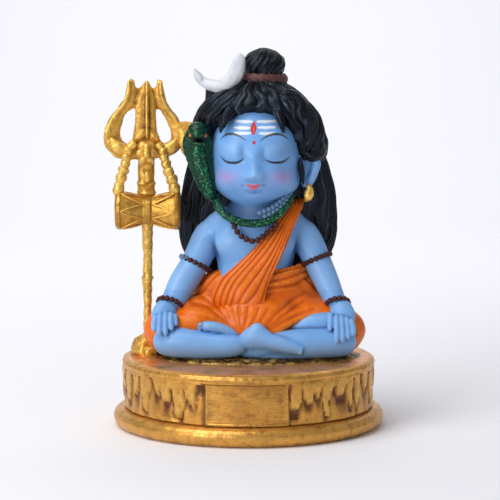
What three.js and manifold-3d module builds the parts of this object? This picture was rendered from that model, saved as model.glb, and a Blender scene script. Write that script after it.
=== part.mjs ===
// A small cast-resin figurine: a child-like Shiva seated cross-legged on a round base, with a trident beside it.
// Everything is one casting, so all the forms are joined into a single closed solid.
// Millimetres, +Z up, the front of the figure towards -Y, the origin under the middle of the base.

import * as THREE from "three";
import { mergeVertices } from "three/addons/utils/BufferGeometryUtils.js";
import Module from "manifold-3d";

const wasm = await Module();
wasm.setup();

// Driving dimensions.
const figureHeight = 76; // from the seat to the crown of the topknot
const stepCount = 76; // the figure is drawn on a grid with this many steps in its height
const u = figureHeight / stepCount; // one step of that grid
const figureShift = 1.6 * u; // the figure sits a little to one side of the base's middle
const tridentReach = 26.6 * u; // from the figure's middle to the trident's shaft

const base = {
  height: 17.2, // floor to the top face
  footHeight: 4.8, // the rounded foot ring
  footProud: 3.6, // how far the foot stands out from the wall
  wallInset: 1.4, // how far the wall falls back under the rim
  rimMargin: 2.1, // from the trident's mound to the rim
  rimRound: 1.1, // the worn edge of the top face
  rimDrop: 2.2, // from the top face to where the drips start
  segments: 40,
};
const mound = { radius: 4.5, height: 5.8 };
const tridentDepth = 2; // how far the trident stands behind the base's middle

// The drum that is tied to the shaft, lying crosswise.
const drum = {
  level: 36.3, // from the base's top face to the drum's axis
  reach: 8.1, // from the shaft to each end
  endRadius: 4.8,
  waistRadius: 3.1,
  cordProud: 0.4,
  proud: 1.6, // how far its axis lies in front of the shaft
};
base.rimRadius = tridentReach - figureShift + mound.radius + base.rimMargin;
base.wallRadius = base.rimRadius - base.wallInset;
base.footRadius = base.wallRadius + base.footProud;

const plaque = { width: 20.4, height: 10.6, proud: 0.7, edge: 0.8, recess: 0.35 };
const drips = { count: 26, width: 1.15, proud: 0.75, longest: 8.6, shortest: 3.4 };

// Joining and shaping. Forms are made as plain geometries and joined at the end.

function solidOf(geometry) {
  geometry.deleteAttribute("normal");
  geometry.deleteAttribute("uv");
  const merged = mergeVertices(geometry, 1e-4);
  return new wasm.Manifold(
    new wasm.Mesh({
      numProp: 3,
      vertProperties: merged.attributes.position.array,
      triVerts: new Uint32Array(merged.index.array),
    }),
  );
}

function geometryOf(solid) {
  const { vertProperties, triVerts } = solid.getMesh();
  return new THREE.BufferGeometry()
    .setAttribute("position", new THREE.BufferAttribute(vertProperties, 3))
    .setIndex(new THREE.BufferAttribute(triVerts, 1));
}

const join = (geometries) => geometryOf(geometries.map(solidOf).reduce((all, one) => all.add(one)));
const cut = (geometry, cutter) => geometryOf(solidOf(geometry).subtract(solidOf(cutter)));

const point = ([x, y, z]) => new THREE.Vector3(x, y, z);
const smoothCurve = (points, closed = false) => new THREE.CatmullRomCurve3(
  points.map(point),
  closed,
  "centripetal",
);

// Moves every corner of a geometry to the place that a function gives for it.
function bend(geometry, place) {
  const corners = geometry.attributes.position;
  const corner = new THREE.Vector3();
  for (let i = 0; i < corners.count; i++) {
    corner.fromBufferAttribute(corners, i);
    const moved = place(corner);
    corners.setXYZ(i, moved.x, moved.y, moved.z);
  }
  return geometry;
}

// A value read from a list of values spread evenly over 0 to 1, eased between them.
function along(values, t) {
  const at = Math.min(Math.max(t, 0), 1) * (values.length - 1);
  const i = Math.min(Math.floor(at), values.length - 2);
  return THREE.MathUtils.lerp(values[i], values[i + 1], at - i);
}

const unitSphere = (sides, rings) => new THREE.SphereGeometry(1, sides, rings).rotateX(Math.PI / 2);

// An ellipsoid. `swell` may give each direction a length other than 1, for ridges and dents.
function ball(centre, radii, { sides = 8, rings = 6, swell = () => 1 } = {}) {
  return bend(unitSphere(sides, rings), (direction) =>
    direction.clone().multiplyScalar(swell(direction)).multiply(point(radii)).add(point(centre)),
  );
}

// A place on a tube round a curve. `depth` lies along the view that the tube faces, `across` at right angles to it.
function tubePoint(curve, t, angle, width, depth, facing) {
  const tangent = curve.getTangent(t);
  const outward = facing.clone().addScaledVector(tangent, -facing.dot(tangent)).normalize();
  const across = tangent.clone().cross(outward);
  return curve
    .getPoint(t)
    .addScaledVector(across, Math.cos(angle) * width)
    .addScaledVector(outward, Math.sin(angle) * depth);
}

// A rounded limb along a smooth curve through the points. `widths` lie across the view from the front,
// `depths` along it, both as half sizes. A blunt limb keeps its width up to its ends.
// `ridges` are rounded folds or locks that run along the limb, `rise` is their height as a share of the width.
function limb(points, widths, options = {}) {
  const { depths = widths, sides = 8, rings = 6, blunt = 5, ridges = 0, rise = 0, twist = 0 } = options;
  const curve = smoothCurve(points);
  const facing = point(options.facing ?? [0, -1, 0]);
  return bend(unitSphere(sides, rings), (on) => {
    const t = (1 - on.z) / 2;
    const angle = Math.atan2(on.y, on.x);
    const end = Math.sqrt(Math.max(0, 1 - Math.abs(2 * t - 1) ** blunt));
    const ridge = end * (1 + rise * Math.cos(ridges * angle + twist * t));
    return tubePoint(curve, t, angle, along(widths, t) * ridge, along(depths, t) * ridge, facing);
  });
}

const beadGap = 0.55; // the waist between two beads, as a share of their radius

// An open string of beads that touch, cast as one knobbly cord.
function beadCord(points, count, radii, { sides = 5 } = {}) {
  const curve = smoothCurve(points);
  const facing = point([0, -1, 0]);
  return bend(unitSphere(sides, 2 * count), (on) => {
    const t = Math.acos(THREE.MathUtils.clamp(on.z, -1, 1)) / Math.PI;
    const knob = Math.round(2 * count * t) % 2 ? 1 : beadGap;
    const radius = Math.hypot(on.x, on.y) < 1e-6 ? 0 : along(radii, t) * knob;
    return tubePoint(curve, t, Math.atan2(on.y, on.x), radius, radius, facing);
  });
}

// A band closed round a limb or the topknot. `tilt` raises it along x and y.
function band(centre, radii, tilt, thickness) {
  return bend(new THREE.TorusGeometry(1, 0.5, 5, 12), (on) => {
    const turn = Math.atan2(on.y, on.x);
    const out = (Math.hypot(on.x, on.y) - 1) * 2 * thickness;
    const x = Math.cos(turn) * (radii[0] + out);
    const y = Math.sin(turn) * (radii[1] + out);
    return new THREE.Vector3(x, y, on.z * 2 * thickness + x * tilt[0] + y * tilt[1]).add(point(centre));
  });
}

const both = (shape) => [shape(-1), shape(1)];

// The round base.

function basePedestal() {
  const { height, footHeight, footRadius, wallRadius, rimRadius, rimRound } = base;
  const outline = new THREE.Path()
    .moveTo(0, 0)
    .lineTo(footRadius - footHeight * 0.18, 0)
    .quadraticCurveTo(footRadius, 0, footRadius, footHeight * 0.5)
    .quadraticCurveTo(footRadius, footHeight, footRadius - footHeight * 0.45, footHeight)
    .lineTo(wallRadius, footHeight)
    .lineTo(wallRadius, height - rimRound * 3.2)
    .lineTo(rimRadius, height - rimRound * 1.6)
    .lineTo(rimRadius, height - rimRound * 0.6)
    .lineTo(rimRadius - rimRound, height)
    .lineTo(0, height);
  return new THREE.LatheGeometry(outline.getPoints(2), base.segments).rotateX(Math.PI / 2);
}

// Poured-looking runs that hang down the wall from the rim, apart from where the plaque is.
function baseDrips() {
  const clear = Math.asin((plaque.width / 2 + drips.width) / base.wallRadius);
  const runs = [];
  for (let i = 0; i < drips.count; i++) {
    const angle = ((i + 0.5) / drips.count) * 2 * Math.PI;
    const share = 0.5 + 0.5 * Math.sin(i * 2.4 + 0.8);
    const length = THREE.MathUtils.lerp(drips.shortest, drips.longest, share);
    const [x, y] = [Math.sin(angle) * base.wallRadius, -Math.cos(angle) * base.wallRadius];
    const spine = [0, 0.5, 1].map((t) => [x, y, base.height - base.rimDrop - length * t]);
    const widths = [drips.width * 1.5, drips.width, drips.width * 0.8];
    const facing = [Math.sin(angle), -Math.cos(angle), 0];
    if (Math.min(angle, 2 * Math.PI - angle) > clear) {
      runs.push(limb(spine, widths, { depths: [drips.proud, drips.proud], facing, sides: 5, rings: 3 }));
    }
  }
  return runs;
}

// The blank name panel on the front of the wall, with its raised edge.
function basePlaque() {
  const { width, height, proud, edge, recess } = plaque;
  const middle = base.footHeight + height / 2;
  const reach = base.wallRadius + proud;
  const arc = (radius) => (corner) => new THREE.Vector3(
    corner.x,
    -Math.sqrt(radius ** 2 - corner.x ** 2),
    corner.z,
  );
  const curvedBox = (w, h, inner, outer) =>
    bend(
      new THREE.BoxGeometry(w, 1, h, 6, 1, 1),
      (corner) => arc(corner.y > 0 ? inner : outer)(corner),
    ).translate(0, 0, middle);
  const panel = curvedBox(width, height, base.wallRadius - 2 * proud, reach);
  return cut(panel, curvedBox(width - 2 * edge, height - 2 * edge, reach - recess, reach + 1));
}

// Everything from here to the trident is drawn on the figure's grid, from the seat upwards.

// The low ground that the casting leaves round the legs.
const ground = () => ball([0, -0.5, 0], [26.3, 15, 1.5], { sides: 24, rings: 4 });

function legs() {
  return [
    limb([[-26.8, -5.2, 5], [-12, -10.6, 5.4], [-1, -11.2, 5.4]], [4.6, 4.7, 3.6], { sides: 10 }), // right shin
    limb([[26, -5.4, 4.9], [13, -9.8, 4.7], [2, -9.4, 3.7]], [4.8, 4.8, 3.2], { sides: 10 }), // left shin
    limb(
      [[-1.5, -12, 6.6], [4, -12.6, 5.8], [11.2, -13.2, 3.9]],
      [2.7, 2.5, 1.8],
      { depths: [2.4, 2.2, 1.7] },
    ), // right foot
    ball([0.9, -11.4, 7.6], [2.1, 2, 2.2]), // right heel
    limb([[-12.2, -8.8, 8.5], [-8, -8.6, 8.6], [-2.5, -8, 6.6]], [1.8, 1.7, 1.5], { rings: 5 }), // left foot
  ];
}

// The wrap over hips and thighs, with folds that fan out from the lap.
function wrap() {
  const foldCount = 13;
  const fan = (d) => 1 + 0.08 * Math.hypot(d.x, d.z) * Math.cos(foldCount * Math.atan2(d.x, d.z));
  const lap = bend(new THREE.SphereGeometry(1, 2 * foldCount, 6), (d) =>
    d.clone().multiplyScalar(fan(d)).multiply(point([19, 13.2, 9.4])).add(point([0, 0.5, 6.8])),
  );
  const thigh = (s) =>
    limb(
      [[s * 6, 2.5, 8.6], [s * 15.2, -1.4, 8.1], [s * 26.6, -3, 5]],
      [7.8, 6.9, 4.4],
      { ridges: 6, rise: 0.04, sides: 18, twist: -2 * s },
    );
  const hips = limb(
    [[0.4, 2.6, 5], [0.5, 2.8, 13], [0.6, 3.4, 22.4]],
    [18, 16, 12.6],
    { depths: [13, 10, 7.8], ridges: 9, rise: 0.035, sides: 18, blunt: 7 },
  );
  return [lap, ...both(thigh), hips];
}

function trunk() {
  const torso = limb(
    [[0, 3, 12], [0.1, 3, 20], [0.2, 2.8, 28.5], [0.2, 2.4, 36.4]],
    [10, 9.3, 9.9, 7.6],
    { depths: [8, 7.2, 7, 5.4], sides: 14, blunt: 8 },
  );
  const shoulders = limb(
    [[-13.8, 3, 28.4], [-8, 3, 32], [0.2, 2.6, 33.8], [8.4, 3, 32.2], [14.4, 3, 28.6]],
    [3.4, 4.4, 5, 4.4, 3.4],
    { depths: [3.2, 4.4, 5, 4.4, 3.2], sides: 10, blunt: 3 },
  );
  const neck = limb([[0, 2, 31], [0, 0, 46]], [6.6, 8.4], { depths: [6.6, 8.6], rings: 3, blunt: 10 });
  return [torso, shoulders, neck];
}

// The sash from the left shoulder across the chest.
const sash = () =>
  limb(
    [[9.4, 4, 38], [9.2, -1.8, 35.6], [6.2, -4, 30], [2.2, -4.4, 24], [-2, -5.2, 16]],
    [1.8, 3, 4.2, 5.2, 7.6],
    {
      depths: [1, 1.1, 1.3, 1.6, 2.2],
      facing: [0.35, -1, 0.2],
      ridges: 6,
      rise: 0.09,
      sides: 12,
      rings: 7,
      blunt: 9,
    },
  );

const arms = () => [
  limb(
    [[-11, 3, 32.6], [-14, 1.8, 24.6], [-17.8, -1.8, 17.8], [-20.6, -5.6, 13]],
    [4.1, 3.9, 3.4, 2.6],
    { sides: 10, rings: 7 },
  ),
  limb(
    [[11.4, 3, 32.8], [14.8, 1.8, 25], [17.8, -1.6, 18], [20, -5.4, 13.2]],
    [4.1, 3.9, 3.4, 2.7],
    { sides: 10, rings: 7 },
  ),
];

// A hand that rests on the knee: a flattened back, four fingers over the shin and a thumb on the inner side.
function hand(side, middle) {
  const back = limb(
    [[middle, -6, 13.8], [middle + side * 0.6, -8.8, 10.4], [middle + side * 0.5, -9.8, 7.6]],
    [2.7, 3.6, 3.5],
    { depths: [2.4, 2.2, 1.7], rings: 5 },
  );
  const fingers = [5, 6.2, 6.6, 5.6].map((length, i) => {
    const x = middle + side * (3.4 - i * 1.85);
    return limb(
      [[x, -9.6, 9.4], [x * 0.99, -11.2, 7], [x * 0.97, -11.2, 9.4 - length]],
      [0.95, 0.95, 0.8],
      { sides: 5, rings: 4 },
    );
  });
  const thumb = limb(
    [[middle - side * 2.4, -8, 11.6], [middle - side * 3.6, -9.2, 9], [middle - side * 3.7, -9.8, 7]],
    [1.1, 1, 0.8],
    { sides: 5, rings: 4 },
  );
  return [back, ...fingers, thumb];
}

// The head is drawn looking straight ahead and turned a little to the figure's right.
const faceTurn = THREE.MathUtils.degToRad(-3.6);
const headOffset = [0.3, 0, 0];
const headCentre = [0, -0.5, 51];
const headRadii = [10.9, 11.3, 13.9];

// Domes that stand out of the face: x and z of the middle, half width, half height, and how far they stand out.
const faceForms = [
  ...both((s) => ({ x: s * 5.7, z: 51.2, wide: 3.2, tall: 2.7, proud: 1.5 })), // closed eyelids
  ...both((s) => ({ x: s * 6.2, z: 45.2, wide: 4.6, tall: 4, proud: 1.1 })), // cheeks
  { x: 0, z: 48.8, wide: 1.3, tall: 4.4, proud: 1.1 }, // bridge of the nose
  { x: 0, z: 45.8, wide: 2.1, tall: 1.7, proud: 1.7 }, // tip of the nose
  { x: 0, z: 43, wide: 2.9, tall: 1.3, proud: 1.4 }, // lips
  { x: 0, z: 40.3, wide: 3.2, tall: 1.8, proud: 1.5 }, // chin
];

function swelling(x, z, { x: middle, z: level, wide, tall, proud }) {
  const edge = 1 - ((x - middle) / wide) ** 2 - ((z - level) / tall) ** 2;
  return proud * Math.max(0, edge) ** 0.6;
}

function face() {
  const crowdingShare = 0.55; // gathers the corners towards the features
  const bulge = (z, level, height, share) => 1 + share * Math.exp(-(((z - level) / height) ** 2));
  return bend(unitSphere(24, 22), (d) => {
    const level = Math.hypot(d.x, d.y);
    const facing = Math.atan2(d.x, -d.y);
    const turn = facing - crowdingShare * Math.sin(facing);
    const z = headCentre[2] + headRadii[2] * (d.z - 0.09 * Math.sin(Math.PI * d.z));
    const x = Math.sin(turn) * level * headRadii[0] * bulge(
      z,
      41,
      3.2,
      0.3,
    ) * bulge(z, 57.5, 4, 0.1); // jaw and temples
    const front = THREE.MathUtils.smoothstep(Math.cos(turn) * level, 0.1, 0.6);
    const proud = faceForms.reduce((sum, form) => sum + swelling(x, z, form), 0);
    const depth = Math.cos(turn) * level * headRadii[1] * bulge(z, 43.2, 4.2, 0.14);
    return new THREE.Vector3(x, headCentre[1] - depth - front * proud, z);
  });
}

function head() {
  const ear = (s) => limb(
    [[s * 12.2, 0, 52], [s * 13.1, -0.4, 47.4], [s * 12.2, -1, 40.2]],
    [1.8, 2, 1.5],
    { depths: [1.8, 1.5, 1.2], sides: 6 },
  );
  const earring = (s) => ball([s * 12.9, -0.8, 40.2], [1.1, 1.1, 2], { sides: 6, rings: 5 });
  return [face().rotateZ(faceTurn).translate(...headOffset), ...both(ear), ...both(earring)];
}

// The combed-back hair: a crown cut away round the face, thick rolls down both sides to the ears,
// and the curtain behind the shoulders.
function hairCrown() {
  const strandCount = 14;
  const comb = (d) => 1 + 0.025 * Math.hypot(d.x, d.y) * Math.cos(strandCount * Math.atan2(d.x, d.y));
  const crown = ball([0.7, 1.6, 56], [14.8, 11.8, 12.9], { sides: 2 * strandCount, rings: 8, swell: comb });
  const faceOpening = ball([headOffset[0], -13, 50.2], [9.9, 11, 11.3], { sides: 14, rings: 10 });
  return cut(crown, faceOpening);
}

function hair() {
  const roll = (s) =>
    limb(
      [
        [3.6, -4, 64.9],
        [9.7, -3.9, 62.7],
        [12.2, -1.8, 56.4],
        [12.7, 0.4, 51],
        [13.2, 2, 47.4],
      ].map(([x, y, z]) => [s * x + 0.9, y, z]),
      [2.6, 3.9, 4, 3.9, 2.4],
      { ridges: 5, rise: 0.08, sides: 10, rings: 7, twist: s * 3 },
    );
  const lock = (s) => limb(
    [[s * 6.4, -8.6, 60.2], [s * 8.4, -8.2, 57.4], [s * 8.8, -7.9, 54.6]],
    [1.2, 1, 0.4],
    { depths: [0.9, 0.7, 0.4], sides: 5, rings: 4 },
  );
  const curtain = limb(
    [[0.9, 4.5, 58], [0.9, 6.5, 46.5], [0.9, 7.6, 35.5], [0.9, 8, 27], [0.9, 8, 17.5]],
    [13, 17.4, 19.4, 18.8, 14.5],
    { depths: [8, 6.4, 5, 3.9, 2.6], ridges: 14, rise: 0.05, sides: 28, rings: 7, blunt: 9, twist: 2.4 },
  );
  return [hairCrown(), ...both(roll), ...both(lock), curtain];
}

function topknot() {
  const foot = limb([[2.4, 2, 63], [2.3, 1.7, 70.5]], [7.8, 4.2], { sides: 12, rings: 3, blunt: 8 });
  const coils = (d) => 1 + 0.035 * Math.hypot(d.x, d.y) * Math.cos(7 * Math.atan2(d.y, d.x) + 4 * d.z);
  const knot = ball([2.3, 1.6, 72.3], [4.8, 4.7, 3.75], { sides: 14, rings: 6, swell: coils });
  return [foot, knot, band([2.43, 1.73, 69.1], [4.9, 4.7], [-0.04, 0.01], 1.1)];
}

// The crescent, open towards the upper left of the figure, on a short stub of hair.
function crescent() {
  const [x, z, radius] = [-8.5, 71.9, 5.5];
  const arc = Array.from({ length: 7 }, (_, i) => {
    const angle = THREE.MathUtils.degToRad(184 + (i / 6) * 206);
    return [x + radius * Math.cos(angle), 0.6, z + radius * Math.sin(angle)];
  });
  const moon = limb(arc, [0.6, 1.7, 2.3, 1.9, 0.8], { depths: [0.6, 1.2, 1.5, 1.3, 0.7], sides: 6, rings: 9 });
  const stub = limb([[-11, 0.6, 66.6], [-10.6, 0.6, 63]], [1, 1.8], { sides: 6, rings: 3 });
  return [moon, stub];
}

// The cobra: body looped under the chin, hood spread beside the face.
const hoodTop = [-14.5, -5.2, 57.6];

function cobra() {
  const loop = limb(
    [
      [-9, 1.5, 41],
      [-9.9, -2.6, 39.4],
      [-7.6, -5, 35.7],
      [-2.6, -6, 33.6],
      [3.2, -6, 33.9],
      [7.4, -4.8, 36.6],
      [9.3, -2.2, 39.6],
      [9.4, 0.5, 41.6],
    ],
    [1.25, 1.3, 1.3, 1.3, 1.3, 1.25, 1.2, 1.1],
    { sides: 6, rings: 14, blunt: 12 },
  );
  const hood = limb(
    [[-10.6, -4.4, 39.4], [-12.6, -4.9, 44], [-13.7, -5, 49.2], [-14.4, -5.1, 54], hoodTop],
    [1.7, 2.2, 3, 3.6, 2.6],
    { depths: [1.4, 1.3, 1.3, 1.4, 1.5], rings: 8 },
  );
  const crest = limb(
    [[-14.4, -5, 57.4], [-14.2, -7.2, 56.6], [-14.2, -8.6, 55]],
    [2.2, 2.1, 1.3],
    { rings: 5, blunt: 3, facing: [0, -0.3, 1] },
  );
  return [loop, hood, crest];
}

const jewellery = () => [
  beadCord(
    [[-5.2, -5.4, 32.6], [-3.6, -5.3, 29.8], [0, -5.3, 28.2], [3.8, -5.6, 29.6], [7, -5.2, 33.2]],
    11,
    [1, 1],
    { sides: 4 },
  ),
  band([-14.8, 1.4, 22.8], [3.5, 3.7], [-0.5, -0.2], 0.75), // armlets
  band([15.3, 1.5, 23.8], [3.5, 3.7], [0.42, -0.2], 0.75),
  band([-20, -4.8, 14], [2.6, 2.2], [-0.3, -0.75], 0.75), // bracelets
  band([19.6, -4.8, 14.2], [2.7, 2.3], [0.2, -0.75], 0.75),
];

// The trident and drum, drawn from the shaft's axis and from the base's top face, on the same grid.

function tridentHead() {
  const path = [
    [3.3, 68.6],
    [3.6, 65.4],
    [5, 62.2],
    [6.6, 59],
    [7.7, 56.2],
    [8, 53.2],
    [6.2, 50.5],
    [3.2, 49.6],
    [0, 49.8],
  ];
  const prong = (s) =>
    limb(path.map(([x, z]) => [s * x, 0, z]), [0.6, 0.95, 1.3, 1.7, 1.9, 2.1, 1.9, 1.6, 1.6], {
      depths: [0.7, 0.9, 1, 1.1, 1.2, 1.3, 1.3, 1.2, 1.2],
      sides: 6,
      rings: 11,
      blunt: 12,
    });
  return [
    ...both(prong),
    limb(
      [[0, 0, 67.6], [0, 0, 64], [0, 0, 60.2]],
      [3.4, 4.4, 4.6],
      { depths: [0.6, 0.7], rings: 4 },
    ), // the skin left between the prongs
    limb(
      [[0, 0, 69], [0, 0, 64], [0, 0, 58], [0, 0, 51.5]],
      [0.7, 1.7, 2.7, 3.4],
      { depths: [0.8, 1.5, 1.7, 1.9], sides: 4, blunt: 14 },
    ), // blade
    limb(
      [[0, -1.4, 54.4], [0, -1.6, 50.8], [0, -1.2, 46.8]],
      [1.2, 2.8, 1.1],
      { depths: [1, 2.1, 1], sides: 6, rings: 5, blunt: 3 },
    ), // bud
    limb([[0, -2, 47.4], [0, -2, 44.2]], [0.7, 0.6], { sides: 5, rings: 3 }), // tassel
    collar(),
  ];
}

// Where the drum's axis, its top and its ends come on the grid.
const drumLevel = drum.level / u;
const drumTop = (drum.level + drum.endRadius) / u;
const drumReach = drum.reach / u;

// A row of levels from one height down to another, at the given shares of the way.
const levels = (from, to, shares) => shares.map((share) => THREE.MathUtils.lerp(from, to, share));

function collar() {
  const path = levels(50.5, drumLevel - 0.3, [0, 0.31, 0.586, 1]).map((z) => [0, 0, z]);
  return limb(path, [2.9, 2.5, 2.1, 2.2], { depths: [1.9, 1.8, 1.7, 1.9], sides: 6, rings: 4, blunt: 14 });
}

// The two strings of beads from the trident's foot to the ends of the drum.
function garland() {
  const [top, second, third, foot] = levels(53.4, drumTop - 0.1, [0, 0.306, 0.645, 1]);
  const side = (s) =>
    beadCord(
      [[s * 2.5, -1.9, top], [s * 4.3, -2, second], [s * 5.9, -2, third], [s * (drumReach - 0.9), -2.2, foot]],
      7,
      [1.1, 1.5],
      { sides: 4 },
    );
  return both(side);
}

function shaft() {
  const swell = [drumLevel - 0.3, drumLevel - 6.3, drumLevel - 10.3].map((z) => [0, 0, z]);
  return limb(
    [...swell, [0.1, 0, 12], [0, 0, -2]],
    [2, 1.7, 1.25, 1.2, 1.2],
    { sides: 6, rings: 5, blunt: 20 },
  );
}

function drumBody() {
  const { level, reach, endRadius, waistRadius, cordProud, proud } = drum;
  const half = [
    [waistRadius + cordProud, reach * 0.07],
    [waistRadius, reach * 0.11],
    [endRadius - cordProud / 4, reach * 0.8],
    [endRadius, reach * 0.94],
    [endRadius - cordProud, reach],
  ];
  const outline = [...half.map(([r, x]) => [r, -x]).reverse(), ...half];
  const profile = [[0, -reach], ...outline, [0, reach]].map(([r, x]) => new THREE.Vector2(r, x));
  return new THREE.LatheGeometry(profile, 12).rotateZ(Math.PI / 2).translate(0, -proud, level);
}

// The rough stone that the shaft stands in.
const rock = () =>
  ball(
    [0, 0, 0],
    [mound.radius, mound.radius * 1.25, mound.height],
    { sides: 10, swell: (d) => 1 + 0.09 * Math.sin(9 * d.x + 5 * d.z) * Math.cos(8 * d.y) },
  );

// The skin of resin that ties the right prong to the cobra's hood.
function web() {
  const prong = [-tridentReach / u + 8, tridentDepth / u, 56.6];
  const hood = [hoodTop[0] - 1.2, -4.4, 56.6];
  return limb(
    [prong, [(prong[0] + hood[0]) / 2, -1, 57.4], hood],
    [1.8, 1.6, 2],
    { depths: [0.9, 0.9], sides: 6, rings: 4 },
  );
}

const onGrid = (forms, [x, y, z]) => forms.map((form) => form.scale(u, u, u).translate(x, y, z));

const seated = onGrid(
  [
    ground(),
    ...wrap(),
    ...legs(),
    ...trunk(),
    sash(),
    ...arms(),
    ...hand(-1, -20.9),
    ...hand(1, 20.6),
    ...head(),
    ...hair(),
    ...topknot(),
    ...crescent(),
    ...cobra(),
    ...jewellery(),
    web(),
  ],
  [figureShift, 0, base.height],
);
const shaftPlace = [figureShift - tridentReach, tridentDepth, base.height];
const lean = -0.75 * u; // the cast head has set a little off the shaft's line
const trident = [
  ...onGrid([...tridentHead(), ...garland()], [shaftPlace[0] + lean, shaftPlace[1], shaftPlace[2]]),
  ...onGrid([shaft()], shaftPlace),
  drumBody().translate(...shaftPlace),
];
const pedestal = [basePedestal(), ...baseDrips(), basePlaque(), rock().translate(...shaftPlace)];

const paintedResin = new THREE.MeshStandardMaterial({ color: 0x79a8dc, roughness: 0.42, metalness: 0 });
const casting = new THREE.Mesh(join([...pedestal, ...seated, ...trident]), paintedResin);
casting.geometry.computeVertexNormals();
casting.name = "shiva_figure";

const figurine = new THREE.Group();
figurine.add(casting);

export default figurine;
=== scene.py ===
"""A small painted cast-resin figurine: a child-like Shiva seated cross-legged on a round gold base.

Shapes are worked out in millimetres on the figure's own grid, with the front towards -Y, and become metres
when a piece is added. The figure is one casting, so every piece stands for a part of the same solid.
"""

import math

import bpy
import numpy as np
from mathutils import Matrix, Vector


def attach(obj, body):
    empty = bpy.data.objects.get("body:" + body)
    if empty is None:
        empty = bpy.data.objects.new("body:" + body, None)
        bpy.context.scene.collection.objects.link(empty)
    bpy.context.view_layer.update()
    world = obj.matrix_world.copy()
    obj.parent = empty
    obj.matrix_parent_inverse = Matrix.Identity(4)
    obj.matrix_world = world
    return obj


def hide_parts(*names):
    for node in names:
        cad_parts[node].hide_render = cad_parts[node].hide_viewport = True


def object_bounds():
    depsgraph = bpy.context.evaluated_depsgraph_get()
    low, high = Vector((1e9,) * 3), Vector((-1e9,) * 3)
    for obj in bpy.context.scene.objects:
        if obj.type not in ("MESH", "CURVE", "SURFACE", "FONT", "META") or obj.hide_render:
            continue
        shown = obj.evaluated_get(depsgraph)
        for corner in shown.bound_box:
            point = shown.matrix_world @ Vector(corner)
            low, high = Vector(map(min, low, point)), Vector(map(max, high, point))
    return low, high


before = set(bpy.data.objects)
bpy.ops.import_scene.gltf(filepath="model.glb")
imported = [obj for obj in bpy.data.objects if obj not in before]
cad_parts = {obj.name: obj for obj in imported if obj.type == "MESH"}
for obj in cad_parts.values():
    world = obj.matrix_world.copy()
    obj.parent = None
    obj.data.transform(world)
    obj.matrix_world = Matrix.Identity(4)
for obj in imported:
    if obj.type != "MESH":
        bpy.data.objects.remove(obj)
FRAME_LOW, FRAME_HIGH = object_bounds()

bl_info = {
    "name": "Seated Shiva figurine",
    "version": (1, 0, 0),
    "blender": (4, 5, 0),
    "location": "3D View > Sidebar > Figurine",
    "description": "Builds the painted surfaces of a cast-resin figurine of a seated Shiva with a trident",
    "category": "Add Mesh",
}

NODE = "shiva_figure"
MM = 0.001

# Places, in millimetres. The grid's step follows the height of the frame.
BASE_HEIGHT = 17.2
CROWN_ON_GRID = 76.05
STEP = (FRAME_HIGH[2] / MM - BASE_HEIGHT) / CROWN_ON_GRID
SEAT = np.array([1.6, 0.0, BASE_HEIGHT])
SHAFT = np.array([-25.0, 2.0, BASE_HEIGHT])
HEAD_LEAN = np.array([-0.75, 0.0, 0.0])
FLOOR = np.zeros(3)


# Numbers: curves, noise and brush edges.


TURN = 2 * np.pi


def circle(steps):
    """Angles at even steps once round."""
    return np.arange(steps) / steps * TURN


def spline(points, t):
    """Places on a smooth curve that passes the points at even steps of t from 0 to 1."""
    p = np.asarray(points, float)
    p = np.vstack([2 * p[0] - p[1], p, 2 * p[-1] - p[-2]])
    at = np.clip(t, 0, 1) * (len(p) - 3)
    i = np.minimum(at.astype(int), len(p) - 4)
    w = (at - i)[:, None]
    a, b, c, d = p[i], p[i + 1], p[i + 2], p[i + 3]
    ab, bc, cd = (
        np.sqrt(np.linalg.norm(leg, axis=1, keepdims=True)) + 1e-6 for leg in (b - a, c - b, d - c)
    )
    leave = bc * ((b - a) / ab - (c - a) / (ab + bc) + (c - b) / bc)
    arrive = bc * ((c - b) / bc - (d - b) / (bc + cd) + (d - c) / cd)
    ease = w * w * (3 - 2 * w)
    return (1 - ease) * b + ease * c + w * (1 - w) * ((1 - w) * leave - w * arrive)


def profile(values, t):
    """A value eased between the values of a list that are spread evenly over t from 0 to 1."""
    v = np.atleast_1d(np.asarray(values, float))
    if len(v) == 1:
        return np.full(np.shape(t), v[0])
    v = np.concatenate([[2 * v[0] - v[1]], v, [2 * v[-1] - v[-2]]])
    at = np.clip(t, 0, 1) * (len(v) - 3)
    i = np.minimum(at.astype(int), len(v) - 4)
    w = at - i
    leave, arrive = (v[i + 2] - v[i]) / 2, (v[i + 3] - v[i + 1]) / 2
    ease = w * w * (3 - 2 * w)
    return (1 - ease) * v[i + 1] + ease * v[i + 2] + w * (1 - w) * ((1 - w) * leave - w * arrive)


def smoothstep(low, high, value):
    w = np.clip((value - low) / (high - low), 0, 1)
    return w * w * (3 - 2 * w)


LATTICE = np.random.default_rng(41).uniform(-1, 1, (32, 32, 32))


def noise(points, size, shift=0.0):
    """Smooth noise from -1 to 1 whose lumps are about `size` across."""
    q = np.asarray(points) / size + shift
    i = np.floor(q).astype(int)
    f = q - i
    f = f * f * (3 - 2 * f)
    a, b = i & 31, (i + 1) & 31
    total = 0.0
    for x, fx in ((a[..., 0], 1 - f[..., 0]), (b[..., 0], f[..., 0])):
        for y, fy in ((a[..., 1], 1 - f[..., 1]), (b[..., 1], f[..., 1])):
            for z, fz in ((a[..., 2], 1 - f[..., 2]), (b[..., 2], f[..., 2])):
                total = total + LATTICE[x, y, z] * fx * fy * fz
    return total


def frames(path, facing):
    """Along, across and outward directions on a path, outward lying nearest to `facing`."""
    along = np.gradient(path, axis=0)
    along /= np.linalg.norm(along, axis=1, keepdims=True)
    facing = np.asarray(facing, float)
    outward = facing - along * (along @ facing)[:, None]
    outward /= np.linalg.norm(outward, axis=1, keepdims=True)
    return along, np.cross(along, outward), outward


def length_along(path):
    return np.linalg.norm(np.diff(path, axis=0), axis=1).sum()


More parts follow.
